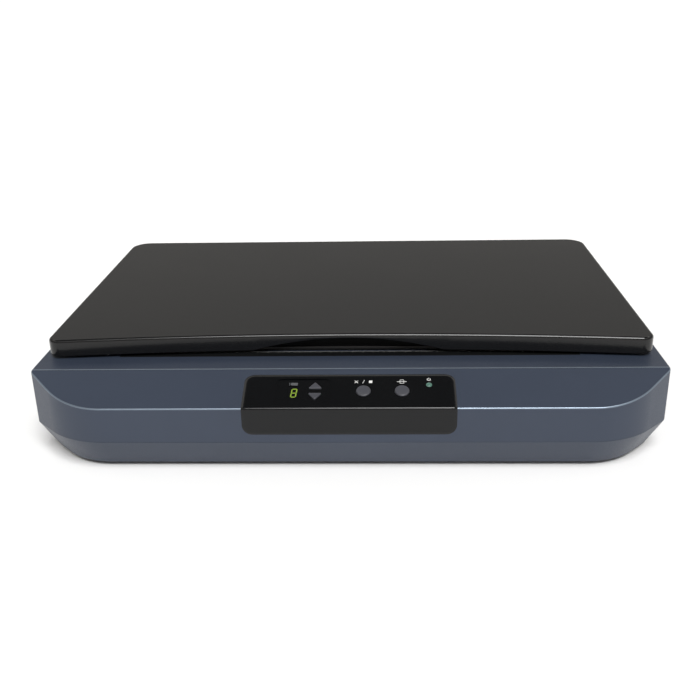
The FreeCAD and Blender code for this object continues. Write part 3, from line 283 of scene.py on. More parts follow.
def softened(points, radius, steps=6):
    """A convex outline with its corners rounded."""
    count = len(points)
    result = []
    for number in range(count):
        corner = points[number]
        back = (points[number - 1] - corner).normalized()
        ahead = (points[(number + 1) % count] - corner).normalized()
        half_angle = back.angle(ahead) / 2
        reach = radius / math.tan(half_angle)
        centre = corner + (back + ahead).normalized() * radius / math.sin(half_angle)
        arm = corner + back * reach - centre
        turn = math.pi - 2 * half_angle
        for step in range(steps + 1):
            turned = arm.copy()
            turned.rotate(Matrix.Rotation(turn * step / steps, 2))
            result.append(centre + turned)
    return result


# ----------------------------------------------------------------------------
# Meshes
# ----------------------------------------------------------------------------

def slope_point(across, up, out):
    """A point given in the slope's own frame, in the model's millimetres."""
    return Vector((across, FRONT, SLOPE_CREASE)) + UPHILL * up + OUTWARD * out


def skin(rings, closed=True):
    """A mesh through rings of equally many points, its two ends filled."""
    mesh = bmesh.new()
    rows = [[mesh.verts.new(Vector(point) * MM) for point in ring] for ring in rings]
    count = len(rows[0])
    for low, high in zip(rows, rows[1:]):
        for number in range(count):
            after = (number + 1) % count
            mesh.faces.new((low[number], low[after], high[after], high[number]))
    if closed:
        mesh.faces.new(rows[0][::-1])
        mesh.faces.new(rows[-1])
    bmesh.ops.recalc_face_normals(mesh, faces=mesh.faces)
    return mesh


def flat_ring(points, height):
    """An outline laid level at a height."""
    return [(point.x, point.y, height) for point in points]


def slope_ring(points, out):
    """An outline laid parallel to the slope, out from it by a distance."""
    return [slope_point(point.x, point.y, out) for point in points]


def slope_prism(points, low, high):
    """A prism that stands square on the slope."""
    return skin([slope_ring(points, low), slope_ring(points, high)])


def block(low, high):
    """A plain cutter or rib between two corners."""
    points = rectangle(low[0], high[0], low[1], high[1])
    return skin([flat_ring(points, low[2]), flat_ring(points, high[2])])


def disc(radius, count, centre=(0, 0)):
    """Points of a circle."""
    return [Vector((centre[0] + radius * math.cos(2 * math.pi * n / count),
                    centre[1] + radius * math.sin(2 * math.pi * n / count)))
            for n in range(count)]


def drum(centre, radius, low, high, count=32):
    """An upright cutter or boss."""
    points = disc(radius, count, centre)
    return skin([flat_ring(points, low), flat_ring(points, high)])


def merge(*meshes):
    """Several meshes in one, without joining their surfaces."""
    total = bmesh.new()
    for mesh in meshes:
        part = bpy.data.meshes.new("part")
        mesh.to_mesh(part)
        mesh.free()
        total.from_mesh(part)
        bpy.data.meshes.remove(part)
    return total


def as_object(mesh, name):
    """Turns a mesh under construction into an object of the scene."""
    data = bpy.data.meshes.new(name)
    mesh.to_mesh(data)
    mesh.free()
    item = bpy.data.objects.new(name, data)
    bpy.context.scene.collection.objects.link(item)
    return item


def settle(item):
    """Turns an object's modifiers into its plain mesh."""
    graph = bpy.context.evaluated_depsgraph_get()
    made = bpy.data.meshes.new_from_object(item.evaluated_get(graph), preserve_all_data_layers=True,
                                           depsgraph=graph)
    item.modifiers.clear()
    old = item.data
    item.data = made
    bpy.data.meshes.remove(old)
    return item


def carve(item, cutters, way="DIFFERENCE"):
    """Takes cutters away from an object, or adds them to it."""
    tools = bpy.data.collections.new("tools")
    bpy.context.scene.collection.children.link(tools)
    for cutter in cutters:
        data = bpy.data.meshes.new("tool")
        cutter.to_mesh(data)
        cutter.free()
        tools.objects.link(bpy.data.objects.new("tool", data))
    modifier = item.modifiers.new("carve", "BOOLEAN")
    modifier.operation = way
    modifier.operand_type = "COLLECTION"
    modifier.collection = tools
    modifier.solver = "EXACT"
    settle(item)
    for tool in list(tools.objects):
        data = tool.data
        bpy.data.objects.remove(tool)
        bpy.data.meshes.remove(data)
    bpy.data.collections.remove(tools)
    return item


def tidy_faces(item, angle=0.4):
    """Joins doubled points and faces that lie in one plane."""
    mesh = bmesh.new()
    mesh.from_mesh(item.data)
    bmesh.ops.remove_doubles(mesh, verts=mesh.verts, dist=0.002 * MM)
    bmesh.ops.dissolve_limit(mesh, angle_limit=math.radians(angle), verts=mesh.verts,
                             edges=mesh.edges)
    bmesh.ops.recalc_face_normals(mesh, faces=mesh.faces)
    mesh.to_mesh(item.data)
    mesh.free()
    return item


def weigh_edges(item, layer, chosen, angle=12):
    """Gives weight 1 to the sharp edges whose two ends both pass a test."""
    mesh = bmesh.new()
    mesh.from_mesh(item.data)
    weights = mesh.edges.layers.float.new(layer)
    for edge in mesh.edges:
        if len(edge.link_faces) == 2 and edge.calc_face_angle(0) > math.radians(angle):
            if all(chosen(vert.co / MM) for vert in edge.verts):
                edge[weights] = 1
    mesh.to_mesh(item.data)
    mesh.free()


def round_edges(item, width, steps=3, angle=30, layer=None, material=-1):
    """Rounds the edges sharper than an angle, or only those weighed in a layer."""
    bevel = item.modifiers.new("round", "BEVEL")
    bevel.limit_method = "WEIGHT" if layer else "ANGLE"
    if layer:
        bevel.edge_weight = layer
    bevel.angle_limit = math.radians(angle)
    bevel.width = width * MM
    bevel.segments = steps
    bevel.use_clamp_overlap = layer is None
    bevel.miter_outer = "MITER_ARC"
    bevel.material = material
    return item


def smooth(item, angle=35):
    """Smooth shading between faces that meet at less than an angle, flat faces kept flat."""
    if item.modifiers:
        settle(item)
    item.data.shade_smooth()
    item.data.set_sharp_from_angle(angle=math.radians(angle))
    weighted = item.modifiers.new("weighted", "WEIGHTED_NORMAL")
    weighted.keep_sharp = True
    weighted.weight = 90
    return settle(item)


def place(item, body, finish, replaced=()):
    """Paints a finished piece and fixes it to the body that carries it."""
    if finish not in [material.name for material in item.data.materials if material]:
        item.data.materials.clear()
        item.data.materials.append(bpy.data.materials[finish])
    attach(item, body)
    if replaced:
        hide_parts(*replaced)
    return item


def islands(node):
    """Lowest and highest corner of each separate solid in a CAD node, in millimetres."""
    mesh = bmesh.new()
    mesh.from_mesh(frame["nodes"][node].data)
    bmesh.ops.remove_doubles(mesh, verts=mesh.verts, dist=0.002 * MM)
    left = set(mesh.verts)
    boxes = []
    while left:
        stack = [left.pop()]
        found = list(stack)
        while stack:
            for edge in stack.pop().link_edges:
                for vert in edge.verts:
                    if vert in left:
                        left.remove(vert)
                        stack.append(vert)
                        found.append(vert)
        corners = [[pick(vert.co[axis] for vert in found) / MM for axis in range(3)]
                   for pick in (min, max)]
        boxes.append((Vector(corners[0]), Vector(corners[1])))
    mesh.free()
    return sorted(boxes, key=lambda pair: tuple(pair[0]))


def from_node(node, name, width, steps=2, angle=30):
    """A copy of a CAD node with its faces joined and its edges rounded."""
    item = bpy.data.objects.new(name, frame["nodes"][node].data.copy())
    bpy.context.scene.collection.objects.link(item)
    tidy_faces(item)
    if width:
        round_edges(item, width, steps, angle)
    return smooth(item)


# ----------------------------------------------------------------------------
# Materials
# ----------------------------------------------------------------------------

# The values between which most of a noise lies

NOISE_MIDDLE = {"From Min": 0.3, "From Max": 0.7}

# A Mix node's two colours among its inputs, and the mixed colour among its outputs

MIX_FIRST, MIX_SECOND, MIX_RESULT = 6, 7, 2


def add(tree, kind, inputs=None, **settings):
    """Adds a node with its settings; an input is a value, or the socket or node that feeds it."""
    node = tree.nodes.new(kind)
    for name, value in settings.items():
        setattr(node, name, value)
    for name, value in (inputs or {}).items():
        if isinstance(value, bpy.types.Node):
            value = value.outputs[0]
        if isinstance(value, bpy.types.NodeSocket):
            tree.links.new(value, node.inputs[name])
        else:
            node.inputs[name].default_value = value
    return node


def new_material(name):
    """The empty tree of a new material."""
    material = bpy.data.materials.new(name)
    material.use_nodes = True
    material.node_tree.nodes.clear()
    return material.node_tree


def end_material(tree, inputs):
    """Ends a material's tree with its surface."""
    surface = add(tree, "ShaderNodeBsdfPrincipled", inputs)
    add(tree, "ShaderNodeOutputMaterial", {"Surface": surface})


def mottle(tree, size_mm, detail=3.0):
    """Cloudy variation over a piece, in patches of about a size."""
    spot = add(tree, "ShaderNodeTexCoord").outputs["Object"]
    return add(tree, "ShaderNodeTexNoise", {
        "Vector": spot, "Scale": 1 / (size_mm * MM), "Detail": detail})


def relief(tree, size_mm, detail, strength, depth_mm):
    """Low bumps of about a size, spread over a piece."""
    return add(tree, "ShaderNodeBump", {
        "Height": mottle(tree, size_mm, detail), "Strength": strength,
        "Distance": depth_mm * MM})


def moulded(name, base, roughness, grain_mm=0.8, depth_mm=0.03, level=0.5):
    """Moulded plastic or rubber: even colour under a fine eroded grain that softens the gloss."""
    tree = new_material(name)
    cloud = mottle(tree, 40)
    tone = add(tree, "ShaderNodeMix", {
        "Factor": cloud, MIX_FIRST: shifted(base, -0.06), MIX_SECOND: shifted(base, 0.06),
    }, data_type="RGBA").outputs[MIX_RESULT]
    gloss = add(tree, "ShaderNodeMapRange", {
        **NOISE_MIDDLE, "Value": cloud, "To Min": roughness * 0.92, "To Max": roughness * 1.08})
    end_material(tree, {
        "Base Color": tone, "Roughness": gloss, "IOR": 1.5, "Specular IOR Level": level,
        "Normal": relief(tree, grain_mm, 2.0, 0.35, depth_mm)})


def sprayed_paint(name, base, metal, roughness):
    """Two-part paint with fine metal flake, sprayed: satin, faintly pebbled, a touch uneven."""
    tree = new_material(name)
    cloud = mottle(tree, 60)
    spot = add(tree, "ShaderNodeTexCoord").outputs["Object"]
    flakes = add(tree, "ShaderNodeTexVoronoi", {
        "Vector": spot, "Scale": 1 / (0.6 * MM)}).outputs["Color"]
    flake = add(tree, "ShaderNodeSeparateColor", {"Color": flakes})
    sparkle = add(tree, "ShaderNodeMath", {0: flake, 1: 0.25}, operation="MULTIPLY")
    mixed = add(tree, "ShaderNodeMath", {0: cloud, 1: sparkle}, operation="ADD")
    tone = add(tree, "ShaderNodeMix", {
        "Factor": mixed, MIX_FIRST: shifted(base, -0.08), MIX_SECOND: shifted(base, 0.1),
    }, data_type="RGBA").outputs[MIX_RESULT]
    gloss = add(tree, "ShaderNodeMapRange", {
        **NOISE_MIDDLE, "Value": flake, "To Min": roughness * 0.9, "To Max": roughness * 1.1})
    end_material(tree, {
        "Base Color": tone, "Metallic": metal, "Roughness": gloss, "IOR": 1.5,
        "Specular IOR Level": 0.45, "Coat Weight": 0.08, "Coat Roughness": 0.2,
        "Normal": relief(tree, 1.8, 1.0, 0.12, 0.012)})


def polished_black(name, base, roughness, level, coat):
    """Black plastic from a polished mould: deep gloss with faint haze and long soft waves."""
    tree = new_material(name)
    gloss = add(tree, "ShaderNodeMapRange", {
        **NOISE_MIDDLE, "Value": mottle(tree, 70),
        "To Min": roughness * 0.88, "To Max": roughness * 1.12})
    end_material(tree, {
        "Base Color": base, "Roughness": gloss, "IOR": 1.5, "Specular IOR Level": level,
        "Coat Weight": coat, "Coat Roughness": 0.06,
        "Normal": relief(tree, 45, 0.0, 0.03, 0.05)})


def float_glass():
    """Float glass of the platen: clear, faintly green, with a trace of haze from wiping."""
    tree = new_material("float_glass")
    haze = add(tree, "ShaderNodeMapRange", {
        **NOISE_MIDDLE, "Value": mottle(tree, 50), "To Min": 0.0, "To Max": 0.03})
    end_material(tree, {
        "Base Color": linear("#e6f2ee"), "Roughness": haze, "IOR": 1.52,
        "Transmission Weight": 1.0})


def drawn_metal(name, base, roughness):
    """Drawn or rolled metal: fine lines along its length that stretch the highlight."""
    tree = new_material(name)
    spot = add(tree, "ShaderNodeTexCoord").outputs["Object"]
    along = add(tree, "ShaderNodeMapping", {"Vector": spot, "Scale": (0.02, 1.0, 1.0)})
    lines = add(tree, "ShaderNodeTexNoise", {
        "Vector": along, "Scale": 1 / (0.5 * MM), "Detail": 2.0})
    gloss = add(tree, "ShaderNodeMapRange", {
        **NOISE_MIDDLE, "Value": lines, "To Min": roughness * 0.8, "To Max": roughness * 1.2})
    scratches = add(tree, "ShaderNodeBump", {
        "Height": lines, "Strength": 0.08, "Distance": 0.01 * MM})
    end_material(tree, {
        "Base Color": base, "Metallic": 1.0, "Roughness": gloss, "Normal": scratches})


def solder_mask():
    """Green mask over copper: tracks show through as lighter bands."""
    tree = new_material("green_solder_mask")
    spot = add(tree, "ShaderNodeTexCoord").outputs["Object"]
    bands = add(tree, "ShaderNodeTexBrick", {
        "Vector": spot, "Scale": 1 / (14 * MM), "Mortar Size": 0.05,
        "Color1": linear("#0d4a24"), "Color2": linear("#0b3f1e"), "Mortar": linear("#23743b")})
    end_material(tree, {
        "Base Color": bands.outputs["Color"], "Roughness": 0.35, "IOR": 1.55})


def film_on_foam():
    """White film over black foam: white below, the cut foam's dark cells on the sides, which also
    serve as painted shade in the gap under the lid.
    """
    tree = new_material("white_film_on_foam")
    facing = add(tree, "ShaderNodeTexCoord").outputs["Normal"]
    height = add(tree, "ShaderNodeSeparateXYZ", {"Vector": facing}).outputs["Z"]
    below = add(tree, "ShaderNodeMath", {0: height, 1: -0.8}, operation="LESS_THAN")
    # Faces not turned down get the near-black foam colour, partly the foam's own colour and partly
    # painted shade for the mat's edge under the lid.
    tone = add(tree, "ShaderNodeMix", {
        "Factor": below, MIX_FIRST: linear("#161617"), MIX_SECOND: colour("film"),
    }, data_type="RGBA").outputs[MIX_RESULT]
    end_material(tree, {
        "Base Color": tone, "Roughness": 0.6, "IOR": 1.45,
        "Normal": relief(tree, 0.9, 2.0, 0.2, 0.05)})


def lit_segment():
    """Light bar of the digit: milky when dark, here lit evenly."""
    tree = new_material("lit_segment")
    glow = add(tree, "ShaderNodeMix", {
        "Factor": mottle(tree, 3), MIX_FIRST: shifted(colour("digit"), -0.1),
        MIX_SECOND: colour("digit")}, data_type="RGBA").outputs[MIX_RESULT]
    end_material(tree, {
        "Base Color": linear("#20260a"), "Roughness": 0.4,
        "Emission Color": glow, "Emission Strength": 0.62})


def printed_ink(name, base):
    """Screen-printed ink: matt, its density a little uneven."""
    tree = new_material(name)
    tone = add(tree, "ShaderNodeMix", {
        "Factor": mottle(tree, 1.5), MIX_FIRST: base, MIX_SECOND: shifted(base, -0.25),
    }, data_type="RGBA").outputs[MIX_RESULT]
    end_material(tree, {"Base Color": tone, "Roughness": 0.55})


def silvered_glass():
    """Front-silvered mirror: bright and near perfect."""
    tree = new_material("silvered_glass")
    haze = add(tree, "ShaderNodeMapRange", {
        **NOISE_MIDDLE, "Value": mottle(tree, 20), "To Min": 0.02, "To Max": 0.05})
    end_material(tree, {
        "Base Color": linear("#e8ebee"), "Metallic": 1.0, "Roughness": haze})


def lamp_cap():
    """Tinted acrylic of the power lamp: light sinks in a little, so it looks milky."""
    tree = new_material("green_lamp_cap")
    tone = add(tree, "ShaderNodeMix", {
        "Factor": mottle(tree, 2), MIX_FIRST: colour("lamp"),
        MIX_SECOND: shifted(colour("lamp"), 0.2)}, data_type="RGBA").outputs[MIX_RESULT]
    end_material(tree, {
        "Base Color": tone, "Roughness": 0.2, "IOR": 1.49, "Subsurface Weight": 0.3,
        "Subsurface Radius": (2 * MM, 3 * MM, 2 * MM)})


def mix_finishes():
    """Makes the material of every finish."""
    sprayed_paint("satin_blue_grey_paint", colour("paint"), 0.25, 0.42)
    # A painted highlight along the creases: lighter and more metallic than the paint around it.
    sprayed_paint("thin_paint_on_crease", colour("crease"), 0.8, 0.34)
    polished_black("gloss_black_abs", colour("lid"), 0.15, 0.4, 0.0)
    polished_black("hard_coated_black", colour("panel"), 0.2, 0.3, 0.06)
    float_glass()
    drawn_metal("ground_steel", linear("#c4c6c9"), 0.22)
    drawn_metal("zinc_plate", linear("#b5b7b4"), 0.34)
    drawn_metal("sintered_bronze", linear("#a87d45"), 0.45)
    solder_mask()
    silvered_glass()
    film_on_foam()
    lit_segment()
    lamp_cap()
    printed_ink("white_ink", colour("ink"))
    printed_ink("grey_ink", linear("#8a8c90"))
    moulded("black_moulded_abs", linear("#19191b"), 0.5)
    moulded("textured_black_abs", linear("#0a0b0c"), 0.62, 0.6, 0.04, 0.12)
    moulded("dark_moulded_abs", linear("#151517"), 0.42, 0.6, 0.02)
    moulded("black_epoxy", linear("#1c1c1e"), 0.55, 0.3, 0.01)
    moulded("white_film", colour("film"), 0.45, 0.5, 0.01)
    moulded("natural_acetal", linear("#dedfd6"), 0.38, 1.0, 0.01)
    moulded("satin_grey_key", colour("key"), 0.34, 0.5, 0.01)
    moulded("black_rubber", linear("#171717"), 0.75, 0.7, 0.04, 0.3)
    moulded("ribbon_film", linear("#cbcdd1"), 0.35, 1.0, 0.01)


# ----------------------------------------------------------------------------
# Trees of Geometry Nodes for what repeats
# ----------------------------------------------------------------------------

def begin_tree(name, sockets):
    """A tree with a geometry input, named inputs and a material; gives its input sockets."""
    tree = bpy.data.node_groups.new(name, "GeometryNodeTree")
    kinds = {"Geometry": "Geometry", **sockets, "Material": "Material"}
    for label, kind in kinds.items():
        tree.interface.new_socket(label, in_out="INPUT", socket_type="NodeSocket" + kind)
    tree.interface.new_socket("Geometry", in_out="OUTPUT", socket_type="NodeSocketGeometry")
    return tree, add(tree, "NodeGroupInput").outputs


def end_tree(tree, given, instances):
    """Ends a tree with real, painted geometry."""
    real = add(tree, "GeometryNodeRealizeInstances", {"Geometry": instances})
    painted = add(tree, "GeometryNodeSetMaterial",
                  {"Geometry": real, "Material": given["Material"]})
    add(tree, "NodeGroupOutput", {"Geometry": painted})
    return tree


def screw_tree():
    """A domed head with a cross recess on a shank, at every point."""
    tree, given = begin_tree("screws", {
        "Head Radius": "Float", "Head Height": "Float", "Shank Radius": "Float",
        "Shank Length": "Float", "Turn Over": "Float"})
    node = partial(add, tree)
    radius, height = given["Head Radius"], given["Head Height"]
    ball = node("GeometryNodeMeshUVSphere", {"Segments": 28, "Rings": 14, "Radius": 1.0})
    flattening = node("ShaderNodeCombineXYZ", {"X": radius, "Y": radius, "Z": height})
    dome = node("GeometryNodeTransform", {"Geometry": ball, "Scale": flattening})
    long_arm, short_arm, beyond = [
        node("ShaderNodeMath", {0: radius, 1: share}, operation="MULTIPLY")
        for share in (1.15, 0.26, 3.0)]
    depth, tall, below = [
        node("ShaderNodeMath", {0: height, 1: share}, operation="MULTIPLY")
        for share in (1.1, 2.0, -1.0)]
    head = node("GeometryNodeMeshBoolean", {"Mesh 1": dome}, operation="DIFFERENCE")
    for wide, deep, thick, rise in ((long_arm, short_arm, depth, height),
                                    (short_arm, long_arm, depth, height),
                                    (beyond, beyond, tall, below)):
        extent = node("ShaderNodeCombineXYZ", {"X": wide, "Y": deep, "Z": thick})
        bar = node("GeometryNodeMeshCube", {"Size": extent})
        cutter = node("GeometryNodeTransform", {
            "Geometry": bar, "Translation": node("ShaderNodeCombineXYZ", {"Z": rise})})
        tree.links.new(cutter.outputs[0], head.inputs["Mesh 2"])
    shank = node("GeometryNodeMeshCylinder", {
        "Vertices": 16, "Radius": given["Shank Radius"], "Depth": given["Shank Length"]})
    sink = node("ShaderNodeMath", {0: given["Shank Length"], 1: -0.49}, operation="MULTIPLY")
    sunk = node("GeometryNodeTransform", {
        "Geometry": shank, "Translation": node("ShaderNodeCombineXYZ", {"Z": sink})})
    screw = node("GeometryNodeJoinGeometry")
    for part in (head, sunk):
        tree.links.new(part.outputs[0], screw.inputs["Geometry"])
    turn = node("ShaderNodeCombineXYZ", {"X": given["Turn Over"]})
    placed = node("GeometryNodeInstanceOnPoints", {
        "Points": given["Geometry"], "Instance": screw, "Rotation": turn})
    return end_tree(tree, given, placed)


def tooth_tree():
    """Teeth set across a closed line at an even pitch."""
    tree, given = begin_tree("belt_teeth", {
        "Pitch": "Float", "Tooth Width": "Float", "Tooth Depth": "Float", "Height": "Float"})
    node = partial(add, tree)
    line = node("GeometryNodeMeshToCurve", {"Mesh": given["Geometry"]})
    even = node("GeometryNodeResampleCurve", {"Curve": line, "Length": given["Pitch"]},
                mode="LENGTH")
    along = node("GeometryNodeInputTangent")
    turn = node("FunctionNodeAlignRotationToVector", {"Vector": along}, axis="X")
    extent = node("ShaderNodeCombineXYZ", {
        "X": given["Tooth Width"], "Y": given["Tooth Depth"], "Z": given["Height"]})
    tooth = node("GeometryNodeMeshCube", {"Size": extent})
    placed = node("GeometryNodeInstanceOnPoints", {
        "Points": even, "Instance": tooth, "Rotation": turn})
    return end_tree(tree, given, placed)


def tick_tree():
    """Ruler marks: every fifth longer, every tenth longest."""
    tree, given = begin_tree("ruler_ticks", {
        "Start": "Vector", "Step": "Vector", "Count": "Int", "Tick Width": "Float",
        "Tick Length": "Float", "Turn": "Float"})
    node = partial(add, tree)
    line = node("GeometryNodeMeshLine", {
        "Count": given["Count"], "Start Location": given["Start"], "Offset": given["Step"],
    }, mode="OFFSET")
    number = node("GeometryNodeInputIndex")
    share = 0.45
    for every, more in ((5, 0.2), (10, 0.35)):
        left = node("ShaderNodeMath", {0: number, 1: float(every)}, operation="MODULO")
        marked = node("ShaderNodeMath", {0: left, 1: 0.5}, operation="LESS_THAN")
        extra = node("ShaderNodeMath", {0: marked, 1: more}, operation="MULTIPLY")
        share = node("ShaderNodeMath", {0: extra, 1: share}, operation="ADD")
    reach = node("ShaderNodeMath", {0: share, 1: given["Tick Length"]}, operation="MULTIPLY")
    extent = node("ShaderNodeCombineXYZ", {
        "X": given["Tick Width"], "Y": 1.0, "Z": 0.06 * MM})
    plate = node("GeometryNodeMeshCube", {"Size": extent})
    mark = node("GeometryNodeTransform", {"Geometry": plate, "Translation": (0, 0.5, 0)})
    turn = node("ShaderNodeCombineXYZ", {"Z": given["Turn"]})
    stretch = node("ShaderNodeCombineXYZ", {"X": 1.0, "Y": reach, "Z": 1.0})
    placed = node("GeometryNodeInstanceOnPoints", {
        "Points": line, "Instance": mark, "Rotation": turn, "Scale": stretch})
    return end_tree(tree, given, placed)


def leg_tree():
    """Flat legs that stand out from a chip, turned by each point's own angle."""
    tree, given = begin_tree("chip_legs", {"Leg Length": "Float", "Leg Width": "Float"})
    node = partial(add, tree)
    turn = node("GeometryNodeInputNamedAttribute", {"Name": "turn"},
                data_type="FLOAT").outputs["Attribute"]
    extent = node("ShaderNodeCombineXYZ", {
        "X": given["Leg Length"], "Y": given["Leg Width"], "Z": 0.2 * MM})
    leg = node("GeometryNodeMeshCube", {"Size": extent})
    placed = node("GeometryNodeInstanceOnPoints", {
        "Points": given["Geometry"], "Instance": leg,
        "Rotation": node("ShaderNodeCombineXYZ", {"Z": turn})})
    return end_tree(tree, given, placed)


def run_tree(tree, name, finish, values, points, edges=(), turns=None):
    """Runs a tree over points given in millimetres and keeps the result as a plain mesh."""
    data = bpy.data.meshes.new(name)
    data.from_pydata([Vector(point) * MM for point in points], list(edges), [])
    if turns:
        data.attributes.new("turn", "FLOAT", "POINT").data.foreach_set("value", turns)
    item = bpy.data.objects.new(name, data)
    bpy.context.scene.collection.objects.link(item)
    modifier = item.modifiers.new("repeat", "NODES")
    modifier.node_group = tree
    given = {**values, "Material": bpy.data.materials[finish]}
    for socket in tree.interface.items_tree:
        if socket.in_out == "INPUT" and socket.name in given:
            modifier[socket.identifier] = given[socket.name]
    return settle(item)


# ----------------------------------------------------------------------------
# Housing
# ----------------------------------------------------------------------------

# Opening behind the panel for its keys, across and up the slope

KEY_SLOT = (-66, 84, 4, 37)

# Ledge under the glass, sockets for the hinge posts, screw bosses and the openings

LEDGE_WIDTH = 8
POST_PLAY = 0.4
SOCKET_WALL = 2
BOSS_RADIUS = 5
BOSS_DROP = 1
SCREW_WELL_RADIUS = 3.6
SCREW_WELL_TOP = 9.9
LOCK_SLOT_HALF = 3
LOCK_SLOT_FRONT = -124.5
LOCK_SLOT_REAR = -107.5
LOCK_SLOT_TOP = 8
PORT_PLAY = 0.3

# How far a cutter reaches past the wall it opens, and how close counts as on a surface

THROUGH = 5
TOUCH = 0.03


def plan_middle(low, high):
    """Middle of a box, seen from above."""
    return (low.x + high.x) / 2, (low.y + high.y) / 2


def slope_height(y, inset=0):
    """Height of the sloping front, drawn in or not."""
    return SLOPE_CREASE + (y - FRONT) * SLOPE_RATIO - inset / UPHILL.y


def top_form(inset):
    """The upper housing's form with its sloping front, as one closed mesh."""
    plan = housing_plan(inset, inset)
    below = 0.5 if inset else 0
    mesh = skin([flat_ring(plan, PARTING - below), flat_ring(plan, DECK - inset)])
    point = Vector((0, FRONT, slope_height(FRONT, inset))) * MM
    everything = list(mesh.verts) + list(mesh.edges) + list(mesh.faces)
    cut = bmesh.ops.bisect_plane(mesh, geom=everything, plane_co=point, plane_no=OUTWARD,
                                 clear_outer=True)
    rim = [edge for edge in cut["geom_cut"] if isinstance(edge, bmesh.types.BMEdge)]
    bmesh.ops.edgeloop_fill(mesh, edges=rim)
    bmesh.ops.recalc_face_normals(mesh, faces=mesh.faces)
    return mesh


def on_outline(plan):
    """Tests whether a point lies on the housing's outer wall."""
    sides = list(zip(plan, plan[1:] + plan[:1]))

    def test(point):
        for start, end in sides:
            along = end - start
            share = max(0, min(1, (point.xy - start).dot(along) / along.length_squared))
            if (start + along * share - point.xy).length < 0.05:
                return True
        return False

    return test


def upper_housing():
    """The painted upper shell: slope, deck, ledge for the glass, hinge sockets and bosses."""
    item = as_object(top_form(0), "upper_housing_shell")
    carve(item, [top_form(WALL)])
    edge = GLASS_EDGE - GLASS_PLAY
    around = edge + LEDGE_WIDTH
    ring = [block((GLASS_LOW.x - around, GLASS_LOW.y - around, LEDGE_LOW),
                  (GLASS_HIGH.x + around, GLASS_HIGH.y + 2, DECK - WALL + 0.5))]
    thick = POST_PLAY + SOCKET_WALL
    sockets = [block((low.x - thick, low.y - thick, PARTING + 4),
                     (high.x + thick, REAR - 1, DECK - 0.3)) for low, high in POSTS]
    bosses = []
    for low, high in islands("housing_screws"):
        x, y = plan_middle(low, high)
        top = min(DECK, slope_height(y - BOSS_RADIUS)) - BOSS_DROP
        bosses.append(drum((x, y), BOSS_RADIUS, PARTING, top))
    carve(item, ring + sockets + bosses, "UNION")
    above = DECK + THROUGH
    cutters = [slope_prism(rectangle(*KEY_SLOT), -6, 3),
               block((GLASS_LOW.x - GLASS_PLAY, GLASS_LOW.y - GLASS_PLAY, GLASS_LOW.z),
                     (GLASS_HIGH.x + GLASS_PLAY, GLASS_HIGH.y + GLASS_PLAY, above)),
               block((GLASS_LOW.x + edge, GLASS_LOW.y + edge, LEDGE_LOW - THROUGH),
                     (GLASS_HIGH.x - edge, GLASS_HIGH.y - edge, above))]
    cutters += [block((low.x - POST_PLAY, low.y - POST_PLAY, PARTING),
                      (high.x + POST_PLAY, high.y + POST_PLAY, above)) for low, high in POSTS]
    carve(item, cutters)
    tidy_faces(item)
    on_wall = on_outline(housing_plan(0, 0))

    def on_crease(point):
        on_slope = abs(point.z - slope_height(point.y)) < TOUCH
        on_deck = abs(point.z - DECK) < TOUCH
        return (on_slope and on_deck) or (on_wall(point) and (on_slope or on_deck))

    weigh_edges(item, "crease", on_crease)
    weigh_edges(item, "lip", lambda point: abs(point.z - PARTING) < TOUCH and on_wall(point))
    # The crease bevels take the second material, a painted highlight along the creases.
    item.data.materials.append(bpy.data.materials["satin_blue_grey_paint"])
    item.data.materials.append(bpy.data.materials["thin_paint_on_crease"])
    round_edges(item, size("crease"), 4, layer="crease", material=1)
    round_edges(item, size("parting"), 2, layer="lip", material=0)
    smooth(item)
    place(item, "base", "satin_blue_grey_paint", ["upper_housing"])


def tub_form(inset, low, high):
    """The lower housing's form, drawn in towards its floor."""
    rings = []
    for height in (low, high):
        draw_in = FLARE * (PARTING - height) / (PARTING - FLOOR)
        rings.append(flat_ring(housing_plan(inset + draw_in, inset), height))
    return skin(rings)


def lower_housing():
    """The painted tub, with its screw wells, lock slot and rear openings."""
    item = as_object(tub_form(0, FLOOR, PARTING), "lower_housing_shell")
    carve(item, [tub_form(WALL, FLOOR + WALL, PARTING + 0.001)])
    places = [plan_middle(low, high) for low, high in islands("housing_screws")]
    carve(item, [drum(spot, BOSS_RADIUS, FLOOR + 1, PARTING) for spot in places], "UNION")
    cutters = [drum(spot, SCREW_WELL_RADIUS, 0, SCREW_WELL_TOP) for spot in places]
    lock_low, lock_high = box_mm("carriage_lock")
    middle = (lock_low.x + lock_high.x) / 2
    cutters.append(block((middle - LOCK_SLOT_HALF, LOCK_SLOT_FRONT, 0),
                         (middle + LOCK_SLOT_HALF, LOCK_SLOT_REAR, LOCK_SLOT_TOP)))
    switch_low, switch_high = box_mm("switch_frame")
    cutters.append(block((switch_low.x + 1.4, REAR - THROUGH, switch_low.z + 0.9),
                         (switch_high.x - 1.4, REAR + THROUGH, switch_high.z - 0.9)))
    for node in ("usb_port", "power_inlet"):
        low, high = box_mm(node)
        cutters.append(block((low.x - PORT_PLAY, REAR - THROUGH, low.z - PORT_PLAY),
                             (high.x + PORT_PLAY, REAR + THROUGH, high.z + PORT_PLAY)))
    carve(item, cutters)
    tidy_faces(item)
    on_wall = on_outline(housing_plan(0, 0))
    floor_edge = on_outline(housing_plan(FLARE, 0))
    weigh_edges(item, "lip", lambda point: abs(point.z - PARTING) < TOUCH and on_wall(point))
    weigh_edges(item, "rim", lambda point: abs(point.z - FLOOR) < TOUCH and floor_edge(point))
    item.data.materials.append(bpy.data.materials["satin_blue_grey_paint"])
    round_edges(item, size("parting"), 2, layer="lip")
    round_edges(item, size("crease"), 3, layer="rim")
    smooth(item)
    place(item, "base", "satin_blue_grey_paint", ["lower_housing"])


# ----------------------------------------------------------------------------
# Lid
# ----------------------------------------------------------------------------

